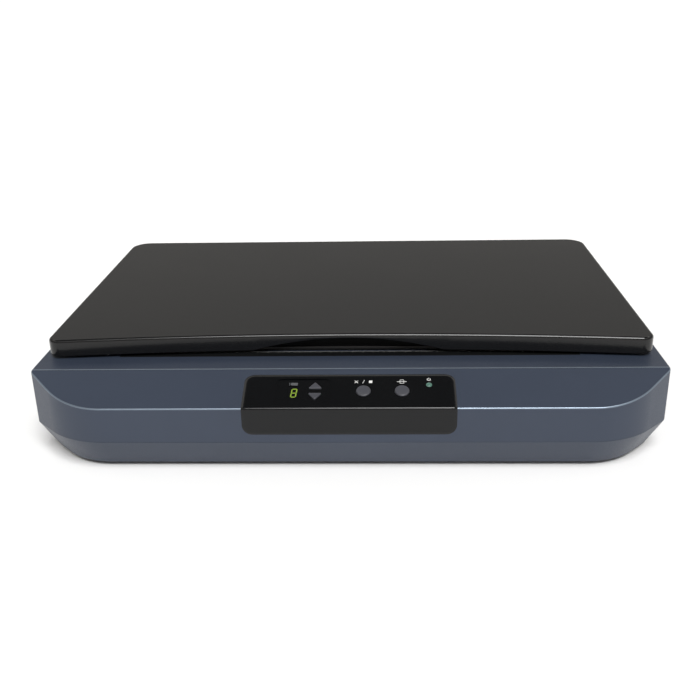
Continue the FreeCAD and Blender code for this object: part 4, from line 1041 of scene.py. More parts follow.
def arch_height(x):
    """Height of the finger arch above the lid's lower edge."""
    if abs(x) >= GRIP_HALF:
        return 0
    bow = (GRIP_HALF ** 2 + GRIP_RISE ** 2) / (2 * GRIP_RISE)
    return math.sqrt(bow * bow - x * x) - bow + GRIP_RISE


def lid_ring(inset, height, arched):
    """One ring round the lid; its front follows the finger arch where asked."""
    ring = []
    for point in lid_plan(inset):
        lift = arch_height(point.x) if arched and point.y < 0 else 0
        ring.append((point.x, point.y, height + lift))
    return ring


def lid_shell():
    """The lid's skin, rounded on top and turned in at its lower edge."""
    low, high = LID_LOW.z, LID_HIGH.z
    rounding = size("lid_round")
    rings = []
    for turn in range(90, -1, -15):
        angle = math.radians(turn)
        rings.append(lid_ring(rounding * (1 - math.cos(angle)),
                              high - rounding + rounding * math.sin(angle), False))
    lip = 0.7
    rings.append(lid_ring(0, low + lip, True))
    rings.append(lid_ring(0.2, low + 0.2, True))
    rings.append(lid_ring(lip, low, True))
    rings.append(lid_ring(WALL - 0.3, low, True))
    rings.append(lid_ring(WALL, low + 0.3, True))
    rings.append(lid_ring(WALL, high - WALL, False))
    return skin(rings)


def grip_pocket():
    """The finger pocket behind the arch: roof and back wall."""
    mesh = bmesh.new()
    rows = []
    steps = 48
    shell = 1.8
    reach = GRIP_HALF + 1
    for number in range(steps + 1):
        x = -reach + 2 * reach * number / steps
        front = LID_LOW.y + LID_SAG - LID_SAG * (x / LID_HIGH.x) ** 2 + 1.4
        roof = LID_LOW.z + max(arch_height(x), 0.1)
        radius = min(3, (roof - LID_LOW.z) * 0.6)
        row = [(x, front, roof)]
        for turn in (0, 22.5, 45, 67.5, 90):
            angle = math.radians(turn)
            row.append((x, GRIP_BACK - radius + radius * math.sin(angle),
                        roof - radius + radius * math.cos(angle)))
        row += [(x, GRIP_BACK, LID_LOW.z + 0.05), (x, GRIP_BACK + shell, LID_LOW.z + 0.05),
                (x, GRIP_BACK + shell, roof + shell), (x, front, roof + shell)]
        rows.append([mesh.verts.new(Vector(point) * MM) for point in row])
    for left, right in zip(rows, rows[1:]):
        for number in range(len(left)):
            after = (number + 1) % len(left)
            mesh.faces.new((left[number], right[number], right[after], left[after]))
    mesh.faces.new(rows[0])
    mesh.faces.new(rows[-1][::-1])
    bmesh.ops.recalc_face_normals(mesh, faces=mesh.faces)
    return mesh


def knuckles():
    """The lugs that hold the hinge pins."""
    lugs = []
    top = LID_HIGH.z - WALL + 0.3
    for low, high in POSTS:
        for start, end in ((low.x - 6, low.x - 0.5), (high.x + 0.5, high.x + 6)):
            rim = [point for point in disc(HINGE_RADIUS, 32, (HINGE_Y, HINGE_Z))
                   if point.y <= HINGE_Z + 0.01]
            rim += [Vector((HINGE_Y + HINGE_RADIUS, top)), Vector((HINGE_Y - HINGE_RADIUS, top))]
            middle = Vector((HINGE_Y, HINGE_Z + 3))
            rim.sort(key=lambda point: math.atan2(point.y - middle.y, point.x - middle.x))
            lugs.append(skin([[(x, point.x, point.y) for point in rim] for x in (start, end)]))
    return lugs


def lid_cover():
    """The gloss lid with the finger pocket and the hinge lugs inside it."""
    item = as_object(lid_shell(), "lid_skin")
    carve(item, [block((low.x - 3, LID_HIGH.y - 11, LID_LOW.z - 2),
                       (high.x + 3, LID_HIGH.y + 1, LID_LOW.z + 11)) for low, high in POSTS])
    mesh = bmesh.new()
    mesh.from_mesh(item.data)
    inside = merge(grip_pocket(), *knuckles())
    for face in inside.faces:
        face.material_index = 1
    lid = merge(mesh, inside)
    lid.to_mesh(item.data)
    lid.free()
    item.data.materials.append(bpy.data.materials["gloss_black_abs"])
    item.data.materials.append(bpy.data.materials["textured_black_abs"])
    smooth(item, 30)
    place(item, "lid", "gloss_black_abs", ["lid_cover"])


def document_mat():
    """A thin foam pad: soft rolled edges and a face that is not quite flat."""
    low, high = box_mm("document_mat")
    outline = softened(rectangle(low.x, high.x, low.y, high.y), 3, 8)
    half_depth = (high.y - low.y) / 2
    profile = [(0.4, high.z), (0.05, high.z - 0.5), (0, low.z + 1.6), (0.2, low.z + 0.8),
               (0.8, low.z + 0.25), (1.8, low.z + 0.05), (2.6, low.z),
               (20, low.z + 0.06), (60, low.z + 0.14), (half_depth - 8, low.z + 0.18)]
    rings = [flat_ring(softened(drawn_in(rectangle(low.x, high.x, low.y, high.y), inset),
                                max(3 - inset, 0.5), 8) if inset else outline, height)
             for inset, height in profile]
    item = smooth(as_object(skin(rings), "mat_pad"), 50)
    place(item, "lid", "white_film_on_foam", ["document_mat"])


# ----------------------------------------------------------------------------
# Control panel
# ----------------------------------------------------------------------------

PANEL_REACH = (PANEL_HIGH.y - FRONT) / UPHILL.y
PANEL_DROP = SLOPE_CREASE - PANEL_LOW.z
PANEL_RADIUS = 9
PANEL_LIP = 0.3


def panel_point(across, along, out):
    """A point over the bent panel: along runs up the wall to 0 at the crease, then up the slope."""
    bend = size("panel_bend")
    turn = math.pi / 2 - math.atan(SLOPE_RATIO)
    reach = bend * math.tan(turn / 2)
    if along >= reach:
        return slope_point(across, along, out)
    if along <= -reach:
        return Vector((across, FRONT - out, SLOPE_CREASE + along))
    angle = turn * (along + reach) / (2 * reach)
    radius = bend + out
    return Vector((across, FRONT + bend - radius * math.cos(angle),
                   SLOPE_CREASE - reach + radius * math.sin(angle)))


def stops(start, end, near, parts):
    """Places along a line: close together at both ends, even between them."""
    first, last = start + near[-1], end - near[-1]
    inner = [first + (last - first) * number / parts for number in range(parts + 1)]
    return [start + gap for gap in near[:-1]] + inner + [end - gap for gap in near[-2::-1]]


def panel_lift(across, along, extent):
    """Height of the raised face, which rolls off towards its rounded rim."""
    left, right, low, high = extent
    from_x = abs(across - (left + right) / 2) - (right - left) / 2 + PANEL_RADIUS
    from_y = abs(along - (low + high) / 2) - (high - low) / 2 + PANEL_RADIUS
    outside = math.hypot(max(from_x, 0), max(from_y, 0)) + min(max(from_x, from_y), 0)
    share = max(0, min(1, (PANEL_RADIUS - outside) / size("panel_bevel")))
    return PANEL_LIP + (PANEL_THICK - PANEL_LIP) * math.sin(share * math.pi / 2)


def panel_blank():
    """The raised bent face as a closed slab."""
    extent = (PANEL_LOW.x, PANEL_HIGH.x, -PANEL_DROP, PANEL_REACH)
    left, right, low, high = extent
    near = [0, 0.25, 0.6, 1.1, 1.7, 2.4, 3.2, 4.0, 5.2, 7.0, 9.0]
    shares = [place_at / (right - left) for place_at in stops(0, right - left, near, 70)]
    rows = [row for row in stops(low, high, near, 30) if abs(row) > 1.6]
    rows = sorted(rows + [0.2 * step for step in range(-7, 8)])
    mesh = bmesh.new()
    top, bottom = [], []
    for along in rows:
        edge = max(PANEL_RADIUS - min(along - low, high - along), 0)
        draw_in = PANEL_RADIUS - math.sqrt(PANEL_RADIUS ** 2 - edge ** 2)
        start, end = left + draw_in, right - draw_in
        across = [start + (end - start) * share for share in shares]
        top.append([mesh.verts.new(panel_point(x, along, panel_lift(x, along, extent)) * MM)
                    for x in across])
        bottom.append([mesh.verts.new(panel_point(x, along, -0.6) * MM) for x in across])
    for sheet in (top, bottom):
        for one, two in zip(sheet, sheet[1:]):
            for n in range(len(one) - 1):
                mesh.faces.new((one[n], one[n + 1], two[n + 1], two[n]))
    rims = [(top[0], bottom[0]), (top[-1], bottom[-1]),
            ([row[0] for row in top], [row[0] for row in bottom]),
            ([row[-1] for row in top], [row[-1] for row in bottom])]
    for one, two in rims:
        for n in range(len(one) - 1):
            mesh.faces.new((one[n], one[n + 1], two[n + 1], two[n]))
    bmesh.ops.recalc_face_normals(mesh, faces=mesh.faces)
    return mesh


def slope_box(node):
    """Lowest and highest corner of a CAD node in the slope's own frame."""
    points = []
    for vert in frame["nodes"][node].data.vertices:
        offset = vert.co / MM - Vector((0, FRONT, SLOPE_CREASE))
        points.append((offset.x, offset.dot(UPHILL), offset.dot(OUTWARD)))
    return [Vector(pick(values) for values in zip(*points)) for pick in (min, max)]


def slope_middle(node):
    """Middle of a CAD node, across and up the slope."""
    low, high = slope_box(node)
    return ((low + high) / 2).xy


RECESS = (-61.6, -14.3, 6.4, 35.1)
RECESS_FLOOR = 0.4
KEY_PLACE = -27.5
KEY_HALF = 6.5
KEY_EDGES = {"up_key": (23.2, 30.9), "down_key": (17.8, 9.8)}
BUTTON_RADIUS = 6.4
BUTTON_GAP = 0.4
LAMP_RADIUS = 2.75
LAMP_GAP = 0.2
KEY_ROUND = 0.9
STEM_RADIUS = 2
STEM_TOP = -1.5


def key_outline(node, wider=0.0):
    """A triangle with its tip up or down the slope."""
    base, tip = KEY_EDGES[node]
    points = [Vector((KEY_PLACE - KEY_HALF, base)), Vector((KEY_PLACE + KEY_HALF, base)),
              Vector((KEY_PLACE, tip))]
    if tip < base:
        points = [points[0], points[2], points[1]]
    return drawn_in(points, -wider)


def window_outline():
    """Outline of the display window, on the slope."""
    low, high = slope_box("display_window")
    return softened(rectangle(low.x, high.x, low.y, high.y), 0.6)


def control_panel():
    """The bent panel with its recess and the holes for keys, lamp and window."""
    item = as_object(panel_blank(), "panel_face")
    deep, above = -3, 4
    cutters = [slope_prism(softened(rectangle(*RECESS), 4, 8), RECESS_FLOOR, above)]
    cutters += [slope_prism(disc(BUTTON_RADIUS + BUTTON_GAP, 48, slope_middle(node)), deep, above)
                for node in ("cancel_button", "scan_button")]
    cutters += [slope_prism(softened(key_outline(node, BUTTON_GAP), KEY_ROUND), deep, above)
                for node in KEY_EDGES]
    cutters.append(slope_prism(disc(LAMP_RADIUS + LAMP_GAP, 32, slope_middle("power_lamp")),
                               deep, above))
    cutters.append(slope_prism(window_outline(), deep, above))
    carve(item, cutters)
    smooth(item, 32)
    place(item, "base", "hard_coated_black", ["control_panel"])


def stem(node):
    """The plunger under a key, down to its switch."""
    low = slope_box(node)[0]
    return slope_prism(disc(STEM_RADIUS, 20, slope_middle(node)), low.z, STEM_TOP)


def round_button(node, name):
    """A dished cap with a rolled rim."""
    top = slope_box(node)[1].z
    dish = size("button_dish")
    radius = BUTTON_RADIUS
    profile = [(radius + 1.1, -1.9), (radius + 1.1, -0.6), (radius, -0.6), (radius, top - 0.8),
               (radius - 0.12, top - 0.4), (radius - 0.4, top - 0.12), (radius - 0.8, top)]
    hollow = radius - 1.0
    profile += [(hollow * share, top - dish * (1 - share * share))
                for share in (1, 0.85, 0.65, 0.45, 0.25, 0.05)]
    rings = [slope_ring(disc(wide, 64, slope_middle(node)), out) for wide, out in profile]
    return smooth(as_object(merge(skin(rings), stem(node)), name), 40)


def arrow_key(node, name):
    """A triangular cap with softened corners and a rolled rim."""
    top = slope_box(node)[1].z
    profile = [(-0.0, -1.9, 0.8), (0.0, top - 0.6, 0.8), (0.1, top - 0.25, 0.7),
               (0.35, top - 0.04, 0.5), (0.75, top, 0.35)]
    rings = [slope_ring(softened(drawn_in(key_outline(node), inset), radius), out)
             for inset, out, radius in profile]
    return smooth(as_object(merge(skin(rings), stem(node)), name), 40)


def segment(start, end):
    """One bar of the digit with pointed ends."""
    along = (end - start).normalized()
    half = size("bar_width") / 2
    across = Vector((-along.y, along.x)) * half
    first, last = start + along * 0.14, end - along * 0.14
    tip = along * half
    return [first, first + tip - across, last - tip - across, last, last - tip + across,
            first + tip + across]


WINDOW_TOP = 0.18
DIGIT_LEAN = 0.1


def digit_display():
    """A dark window and the lit bars of an 8 in it."""
    pane = window_outline()
    window = skin([slope_ring(pane, -0.7), slope_ring(pane, WINDOW_TOP - 0.1),
                   slope_ring(drawn_in(pane, 0.1), WINDOW_TOP)])
    place(smooth(as_object(window, "digit_window")), "base", "hard_coated_black",
          ["display_window", "digit_display"])
    middle = slope_middle("display_window") + Vector((0.8, -0.2))
    half, tall = size("digit_width") / 2, size("digit_height") / 2
    corners = {(x, y): middle + Vector((x * half + y * tall * DIGIT_LEAN, y * tall))
               for x in (-1, 1) for y in (-1, 0, 1)}
    bars = [((-1, y), (1, y)) for y in (-1, 0, 1)]
    bars += [((x, y), (x, y + 1)) for x in (-1, 1) for y in (-1, 0)]
    meshes = [slope_prism(segment(corners[start], corners[end]), WINDOW_TOP - 0.02,
                          WINDOW_TOP + 0.03) for start, end in bars]
    place(as_object(merge(*meshes), "digit_segments"), "base", "lit_segment")


def power_lamp():
    """A cap with a low dome in its hole."""
    low, high = slope_box("power_lamp")
    dome = 1.0
    profile = [(LAMP_RADIUS, low.z), (LAMP_RADIUS, high.z - dome)]
    profile += [(LAMP_RADIUS * math.cos(math.radians(turn)),
                 high.z - dome + dome * math.sin(math.radians(turn)))
                for turn in range(15, 90, 15)] + [(0.1, high.z)]
    rings = [slope_ring(disc(wide, 40, slope_middle("power_lamp")), out)
             for wide, out in profile]
    place(smooth(as_object(skin(rings), "lamp_cap"), 60), "base", "green_lamp_cap",
          ["power_lamp"])


# ----------------------------------------------------------------------------
# Printed signs
# ----------------------------------------------------------------------------

INK_LIFT = 0.04


def ink_plate(points, ground=PANEL_THICK):
    """A printed shape, over a surface of the slope at a height."""
    return slope_prism(points, ground - 0.05, ground + INK_LIFT)


def stroke(start, end, wide, ground=PANEL_THICK):
    """A straight printed stroke."""
    start, end = Vector(start), Vector(end)
    across = Vector((start.y - end.y, end.x - start.x)).normalized() * wide / 2
    return ink_plate([start - across, end - across, end + across, start + across], ground)


def arc_outline(centre, radius, start, end, wide):
    """Outline of part of a ring, angles in degrees."""
    steps = 24
    outline = []
    for rim, order in ((radius + wide / 2, range(steps + 1)),
                       (radius - wide / 2, range(steps, -1, -1))):
        for number in order:
            angle = math.radians(start + (end - start) * number / steps)
            outline.append(centre + rim * Vector((math.cos(angle), math.sin(angle))))
    return outline


def panel_signs():
    """Plain signs in place of words: cross and square, page under a scanning line, power."""
    line = 0.5
    up = 31.2
    cancel, scan = slope_middle("cancel_button"), slope_middle("scan_button")
    cross = Vector((cancel.x - 6.4, up))
    arm = 1.5
    marks = [stroke(cross - Vector(turn) * arm, cross + Vector(turn) * arm, line)
             for turn in ((1, 1), (1, -1))]
    marks.append(stroke((cancel.x - 0.9, up - 1.9), (cancel.x + 0.9, up + 1.9), line * 0.8))
    marks.append(ink_plate(rectangle(cancel.x + 4.8, cancel.x + 7.8, up - 1.5, up + 1.5)))
    page = rectangle(scan.x - 1.7, scan.x + 1.7, up - 2.1, up + 2.1)
    marks += [stroke(page[n], page[(n + 1) % 4], line * 0.8) for n in range(4)]
    marks.append(stroke((scan.x - 4.2, up), (scan.x + 4.2, up), line))
    lamp = slope_middle("power_lamp") + Vector((0, LAMP_RADIUS + 3.6))
    marks.append(ink_plate(arc_outline(lamp, 1.45, 125, 415, line)))
    marks.append(stroke(lamp + Vector((0, 0.2)), lamp + Vector((0, 2.1)), line))
    place(as_object(merge(*marks), "panel_signs"), "base", "white_ink")
    low, high = slope_box("display_window")
    middle = (low.x + high.x) / 2
    rows = []
    for number in range(3):
        height = high.y + 1.3 + number * 1.15
        rows.append(stroke((middle - 2.4, height), (middle + 3.8, height), 0.4, RECESS_FLOOR))
        rows.append(stroke((middle - 3.8, height), (middle - 3.2, height), 0.4, RECESS_FLOOR))
    place(as_object(merge(*rows), "list_sign"), "base", "grey_ink")


def current_sign():
    """Direct current: a stroke over three dashes, above the power inlet."""
    low, high = box_mm("power_inlet")
    x, z = (low.x + high.x) / 2, high.z + 3.2
    outer = REAR + INK_LIFT
    marks = [block((x - 3, REAR - 0.2, z - 0.25), (x + 3, outer, z + 0.25))]
    marks += [block((left, REAR - 0.2, z - 1.35), (left + 1.2, outer, z - 0.85))
              for left in (x - 3, x - 0.6, x + 1.8)]
    place(as_object(merge(*marks), "current_sign"), "base", "white_ink")


ROCKER_PIVOT = Vector((150, 201.5, 20))
ROCKER_TILT = math.radians(-8)


def rocker_marks():
    """A line and a ring on the two halves of the power rocker."""
    turn = Matrix.Rotation(ROCKER_TILT, 3, "Z")
    outlines = {-1: arc_outline(Vector((0, 0)), 1.5, 0, 359, 0.5),
                1: rectangle(-0.25, 0.25, -1.7, 1.7)}
    marks = []
    for side, outline in outlines.items():
        along = turn @ Vector((side * 8.2, 1.4, 0)).normalized()
        out = turn @ Vector((-side * 1.4, 8.2, 0)).normalized()
        middle = ROCKER_PIVOT + turn @ Vector((side * 4.1, 3.7, 0))
        marks.append(skin([[middle + along * point.x + Vector((0, 0, point.y)) + out * height
                            for point in outline] for height in (-0.1, INK_LIFT)]))
    place(as_object(merge(*marks), "rocker_marks"), "power_rocker", "white_ink")


# ----------------------------------------------------------------------------
# Platen
# ----------------------------------------------------------------------------

def rulers():
    """Black strips beside the glass with printed scales."""
    item = from_node("size_rulers", "ruler_strips", 0.12, 1)
    place(item, "base", "textured_black_abs", ["size_rulers"])
    strips = sorted(islands("size_rulers"), key=lambda pair: pair[1].y - pair[0].y)
    (front_low, front_high), (left_low, left_high) = strips
    tree = tick_tree()
    pitch = size("tick_pitch")
    top = front_high.z + 0.01
    runs = [("front_scale", (front_low.x, front_high.y - 0.4, top), (pitch, 0, 0),
             front_high.x - front_low.x, 3, math.pi),
            ("side_scale", (left_high.x - 0.4, left_low.y, top), (0, pitch, 0),
             left_high.y - left_low.y, 6, math.pi / 2)]
    for name, start, step, run, reach, turn in runs:
        values = {"Start": Vector(start) * MM, "Step": Vector(step) * MM,
                  "Count": int(run / pitch) + 1, "Tick Width": size("tick_width") * MM,
                  "Tick Length": reach * MM, "Turn": turn}
        item = run_tree(tree, name, "white_ink", values, [(0, 0, 0)])
        place(item, "base", "white_ink")
    arrow = [(left_high.x - 7, front_high.y - 6.5), (left_high.x - 1.5, front_high.y - 1),
             (left_high.x - 6, front_high.y - 2.2)]
    points = [Vector(point) for point in arrow]
    corner = skin([flat_ring(points, DECK - 0.05), flat_ring(points, DECK + 0.05)])
    place(as_object(corner, "corner_mark"), "base", "white_ink")


# ----------------------------------------------------------------------------
# Fasteners, drive and electronics
# ----------------------------------------------------------------------------

SHANK_SHARE = 0.47

# Node, body, name, turned head down, head height as a share of its radius

SCREWS = [
    ("housing_screws", "base", "case_screw", True, 0.75),
    ("inner_screws", "base", "bracket_screw", False, 0.56),
    ("lid_screws", "lid", "lid_screw", True, 0.4),
]


def screws():
    """Every screw by its own place and size in the design."""
    tree = screw_tree()
    for node, body, name, over, share in SCREWS:
        kinds = {}
        for low, high in islands(node):
            kind = (round((high.x - low.x) / 2, 1), round(high.z - low.z, 1))
            kinds.setdefault(kind, []).append((low, high))
        for number, (kind, boxes) in enumerate(kinds.items()):
            radius, length = kind
            head = radius * share
            spots = [(*plan_middle(low, high), low.z + head if over else high.z - head)
                     for low, high in boxes]
            values = {"Head Radius": radius * MM, "Head Height": head * MM,
                      "Shank Radius": radius * SHANK_SHARE * MM,
                      "Shank Length": (length - head) * MM,
                      "Turn Over": math.pi if over else 0.0}
            item = run_tree(tree, f"{name}_{number + 1}", "zinc_plate", values, spots)
            place(smooth(item, 35), body, "zinc_plate", [node])


def timing_belt():
    """The band as designed, with its teeth on the inside."""
    place(from_node("timing_belt", "belt_band", 0), "base", "black_rubber",
          ["timing_belt"])
    low, high = box_mm("timing_belt")
    radius = (high.y - low.y) / 2 - 1.2
    middle = (low.y + high.y) / 2
    depth = size("tooth_depth")
    inner = radius - depth / 2 + 0.02
    ends = [high.x - (high.y - low.y) / 2, low.x + (high.y - low.y) / 2]
    points = []
    for x, start in zip(ends, (-90, 90)):
        for turn in range(0, 181, 10):
            angle = math.radians(start + turn)
            points.append((x + inner * math.cos(angle), middle + inner * math.sin(angle),
                           (low.z + high.z) / 2))
    loop = [(n, (n + 1) % len(points)) for n in range(len(points))]
    values = {"Pitch": size("tooth_pitch") * MM, "Tooth Width": size("tooth_pitch") / 2 * MM,
              "Tooth Depth": depth * MM, "Height": (high.z - low.z) * MM}
    item = run_tree(tooth_tree(), "belt_teeth", "black_rubber", values, points, loop)
    place(item, "base", "black_rubber")


def chip_legs():
    """Legs round every flat chip on the main board."""
    spots, turns = [], []
    pitch = 1.6
    for low, high in islands("board_components"):
        wide, deep = high.x - low.x, high.y - low.y
        if high.z - low.z > 3:
            continue
        z = low.z + 0.3
        for number in range(int(deep / pitch) - 1):
            y = low.y + pitch * (number + 1)
            spots += [(low.x, y, z), (high.x, y, z)]
            turns += [0.0, 0.0]
        for number in range(int(wide / pitch) - 1):
            x = low.x + pitch * (number + 1)
            spots += [(x, low.y, z), (x, high.y, z)]
            turns += [math.pi / 2, math.pi / 2]
    values = {"Leg Length": 2.4 * MM, "Leg Width": 0.7 * MM}
    item = run_tree(leg_tree(), "chip_legs", "zinc_plate", values, spots, turns=turns)
    place(item, "base", "zinc_plate")


def rubber_feet():
    """Turned rubber feet with two rings of tread."""
    feet = []
    for foot_low, foot_high in islands("rubber_feet"):
        centre = plan_middle(foot_low, foot_high)
        radius = (foot_high.x - foot_low.x) / 2
        top = foot_high.z
        profile = [(0.1, 0.7), (2.6, 0.7), (2.8, 0), (3.8, 0), (4.0, 0.7), (5.6, 0.7),
                   (5.8, 0), (radius - 1.2, 0), (radius - 0.5, 0.2), (radius - 0.1, 0.8),
                   (radius, 1.6), (radius, top)]
        feet.append(skin([flat_ring(disc(wide, 40, centre), height)
                          for wide, height in profile]))
    place(smooth(as_object(merge(*feet), "turned_feet"), 40), "base", "black_rubber",
          ["rubber_feet"])


# Node, body, slot, finish and edge rounding of the pieces that keep their design shape

DRIVE = [
    ("guide_rod", "base", "steel", "ground_steel", 0.4),
    ("guide_rail", "base", "steel", "ground_steel", 0.2),
    ("rod_clamps", "base", "inner_plastic", "black_moulded_abs", 0.4),
    ("pulley_studs", "base", "steel", "ground_steel", 0),
    ("stepper_motor", "base", "steel", "zinc_plate", 0.4),
    ("motor_bracket", "base", "plated", "zinc_plate", 0.15),
    ("idler_bracket", "base", "plated", "zinc_plate", 0.15),
    ("tension_spring", "base", "steel", "ground_steel", 0),
    ("belt_gear", "belt_gear", "acetal", "natural_acetal", 0),
    ("motor_pinion", "motor_pinion", "bronze", "sintered_bronze", 0),
    ("idler_pulley", "idler_pulley", "acetal", "natural_acetal", 0),
    ("carriage_lock", "carriage_lock", "acetal", "natural_acetal", 0.3),
]
ELECTRONICS = [
    ("control_board", "base", "board", "green_solder_mask", 0.1),
    ("key_switches", "base", "chips", "black_epoxy", 0.1),
    ("main_board", "base", "board", "green_solder_mask", 0.1),
    ("board_components", "base", "chips", "black_epoxy", 0.3),
    ("usb_port", "base", "plated", "zinc_plate", 0.15),
    ("power_inlet", "base", "dark_plastic", "dark_moulded_abs", 0.2),
    ("switch_frame", "base", "dark_plastic", "dark_moulded_abs", 0.4),
    ("power_rocker", "power_rocker", "dark_plastic", "dark_moulded_abs", 0.5),
    ("control_cable", "base", "ribbon", "ribbon_film", 0),
    ("ribbon_cable", "base", "ribbon", "ribbon_film", 0),
]
CARRIAGE = [
    ("carriage_housing", "carriage", "inner_plastic", "black_moulded_abs", 0.5),
    ("carriage_cover", "carriage", "inner_plastic", "black_moulded_abs", 0.4),
    ("scan_lamp", "carriage", "foam_white", "white_film", 0.3),
    ("lamp_reflector", "carriage", "mirror", "silvered_glass", 0),
    ("fold_mirrors", "carriage", "mirror", "silvered_glass", 0.2),
    ("lens_barrel", "carriage", "inner_plastic", "black_moulded_abs", 0.2),
    ("sensor_board", "carriage", "board", "green_solder_mask", 0.1),
    ("lamp_inverter", "carriage", "board", "green_solder_mask", 0.3),
    ("rod_bushings", "carriage", "bronze", "sintered_bronze", 0.1),
    ("glide_pad", "carriage", "acetal", "natural_acetal", 0.2),
    ("belt_clamp", "carriage", "inner_plastic", "black_moulded_abs", 0.3),
]
HINGES = [
    ("hinge_post_right", "hinge_posts", "lid_black", "dark_moulded_abs", 0.6),
    ("hinge_post_left", "hinge_posts", "lid_black", "dark_moulded_abs", 0.6),
    ("hinge_pins", "hinge_posts", "steel", "ground_steel", 0.3),
]
LID_LINING = [
    ("lid_inner", "lid", "dark_plastic", "black_moulded_abs", 0.4),
    ("lid_bumpers", "lid", "rubber", "black_rubber", 0.6),
]


def finished(rows):
    """Makes each row's piece from its node, with its edges rounded."""
    for node, body, slot, finish, width in rows:
        item = from_node(node, node + "_finished", width)
        place(item, body, finish, [node])


# ----------------------------------------------------------------------------
# Operators
# ----------------------------------------------------------------------------

class SCANNER_OT_finishes(bpy.types.Operator):
    """Mix the material of every finish"""
    bl_idname = "scanner.finishes"
    bl_label = "Finishes"

    def execute(self, context):
        mix_finishes()
        return {"FINISHED"}


class SCANNER_OT_housing(bpy.types.Operator):
    """Make the painted upper and lower housing and the feet"""
    bl_idname = "scanner.housing"
    bl_label = "Housing"

    def execute(self, context):
        upper_housing()
        lower_housing()
        rubber_feet()
        return {"FINISHED"}


class SCANNER_OT_lid(bpy.types.Operator):
    """Make the lid with its finger arch, its lining and the document mat"""
    bl_idname = "scanner.lid"
    bl_label = "Lid"

    def execute(self, context):
        lid_cover()
        finished(LID_LINING)
        document_mat()
        return {"FINISHED"}


class SCANNER_OT_hinges(bpy.types.Operator):
    """Make the sliding hinge posts and their pins"""
    bl_idname = "scanner.hinges"
    bl_label = "Hinges"

    def execute(self, context):
        finished(HINGES)
        return {"FINISHED"}


class SCANNER_OT_panel(bpy.types.Operator):
    """Make the bent control panel"""
    bl_idname = "scanner.panel"
    bl_label = "Control panel"

    def execute(self, context):
        control_panel()
        return {"FINISHED"}


class SCANNER_OT_keys(bpy.types.Operator):
    """Make the two round buttons and the two arrow keys"""
    bl_idname = "scanner.keys"
    bl_label = "Buttons and keys"

    def execute(self, context):
        for node, name in (("cancel_button", "cancel_cap"), ("scan_button", "scan_cap")):
            place(round_button(node, name), node, "satin_grey_key", [node])
        for node, name in (("up_key", "up_cap"), ("down_key", "down_cap")):
            place(arrow_key(node, name), node, "satin_grey_key", [node])
        return {"FINISHED"}


class SCANNER_OT_lights(bpy.types.Operator):
    """Make the digit display and the power lamp"""
    bl_idname = "scanner.lights"
    bl_label = "Digit and lamp"

    def execute(self, context):
        digit_display()
        power_lamp()
        return {"FINISHED"}


class SCANNER_OT_signs(bpy.types.Operator):
    """Print the signs on the panel and at the rear"""
    bl_idname = "scanner.signs"
    bl_label = "Printed signs"

    def execute(self, context):
        panel_signs()
        current_sign()
        rocker_marks()
        return {"FINISHED"}


class SCANNER_OT_platen(bpy.types.Operator):
    """Make the platen's rulers and finish its glass and white strip"""
    bl_idname = "scanner.platen"
    bl_label = "Platen"

    def execute(self, context):
        rulers()
        for node, finish in (("platen_glass", "float_glass"),
                             ("calibration_strip", "white_film")):
            data = frame["nodes"][node].data
            data.materials.clear()
            data.materials.append(bpy.data.materials[finish])
        return {"FINISHED"}


class SCANNER_OT_screws(bpy.types.Operator):
    """Make every screw with its cross recess"""
    bl_idname = "scanner.screws"
    bl_label = "Screws"

    def execute(self, context):
        screws()
        return {"FINISHED"}


class SCANNER_OT_drive(bpy.types.Operator):
    """Make the guides, the toothed belt, its pulleys, the motor and the transport lock"""
    bl_idname = "scanner.drive"
    bl_label = "Drive"

    def execute(self, context):
        timing_belt()
        finished(DRIVE)
        return {"FINISHED"}


class SCANNER_OT_electronics(bpy.types.Operator):
    """Make the boards with their parts, the cables and the rear fittings"""
    bl_idname = "scanner.electronics"
    bl_label = "Electronics"

    def execute(self, context):
        finished(ELECTRONICS)
        chip_legs()
        return {"FINISHED"}


class SCANNER_OT_carriage(bpy.types.Operator):
    """Make the scanning carriage and its optics"""
    bl_idname = "scanner.carriage"
    bl_label = "Carriage"

    def execute(self, context):
        finished(CARRIAGE)
        return {"FINISHED"}


def soft_sun(name, height, side, spread, strength):
    """A far softbox: its height over the floor, turn to the side and spread, in degrees."""
    data = bpy.data.lights.new(name, "SUN")
    data.energy = strength
    data.angle = math.radians(spread)
    item = bpy.data.objects.new(name, data)
    bpy.context.scene.collection.objects.link(item)
    item.rotation_euler = (math.radians(90 - height), 0, math.radians(side))


# Bands of the sky: a rise and a fall, each with the sines of the heights where it starts and
# ends, then its strength there

SKY_BANDS = [
    ((-1.0, -0.9, 0.75, 0.75), (0.04, 0.2, 1.0, 0.0)),
    ((0.2, 0.45, 0.22, 0.36), (0.5, 0.85, 1.0, 0.28)),
    ((0.58, 0.66, 0.0, 1.2), (0.72, 0.8, 1.0, 0.0)),
]


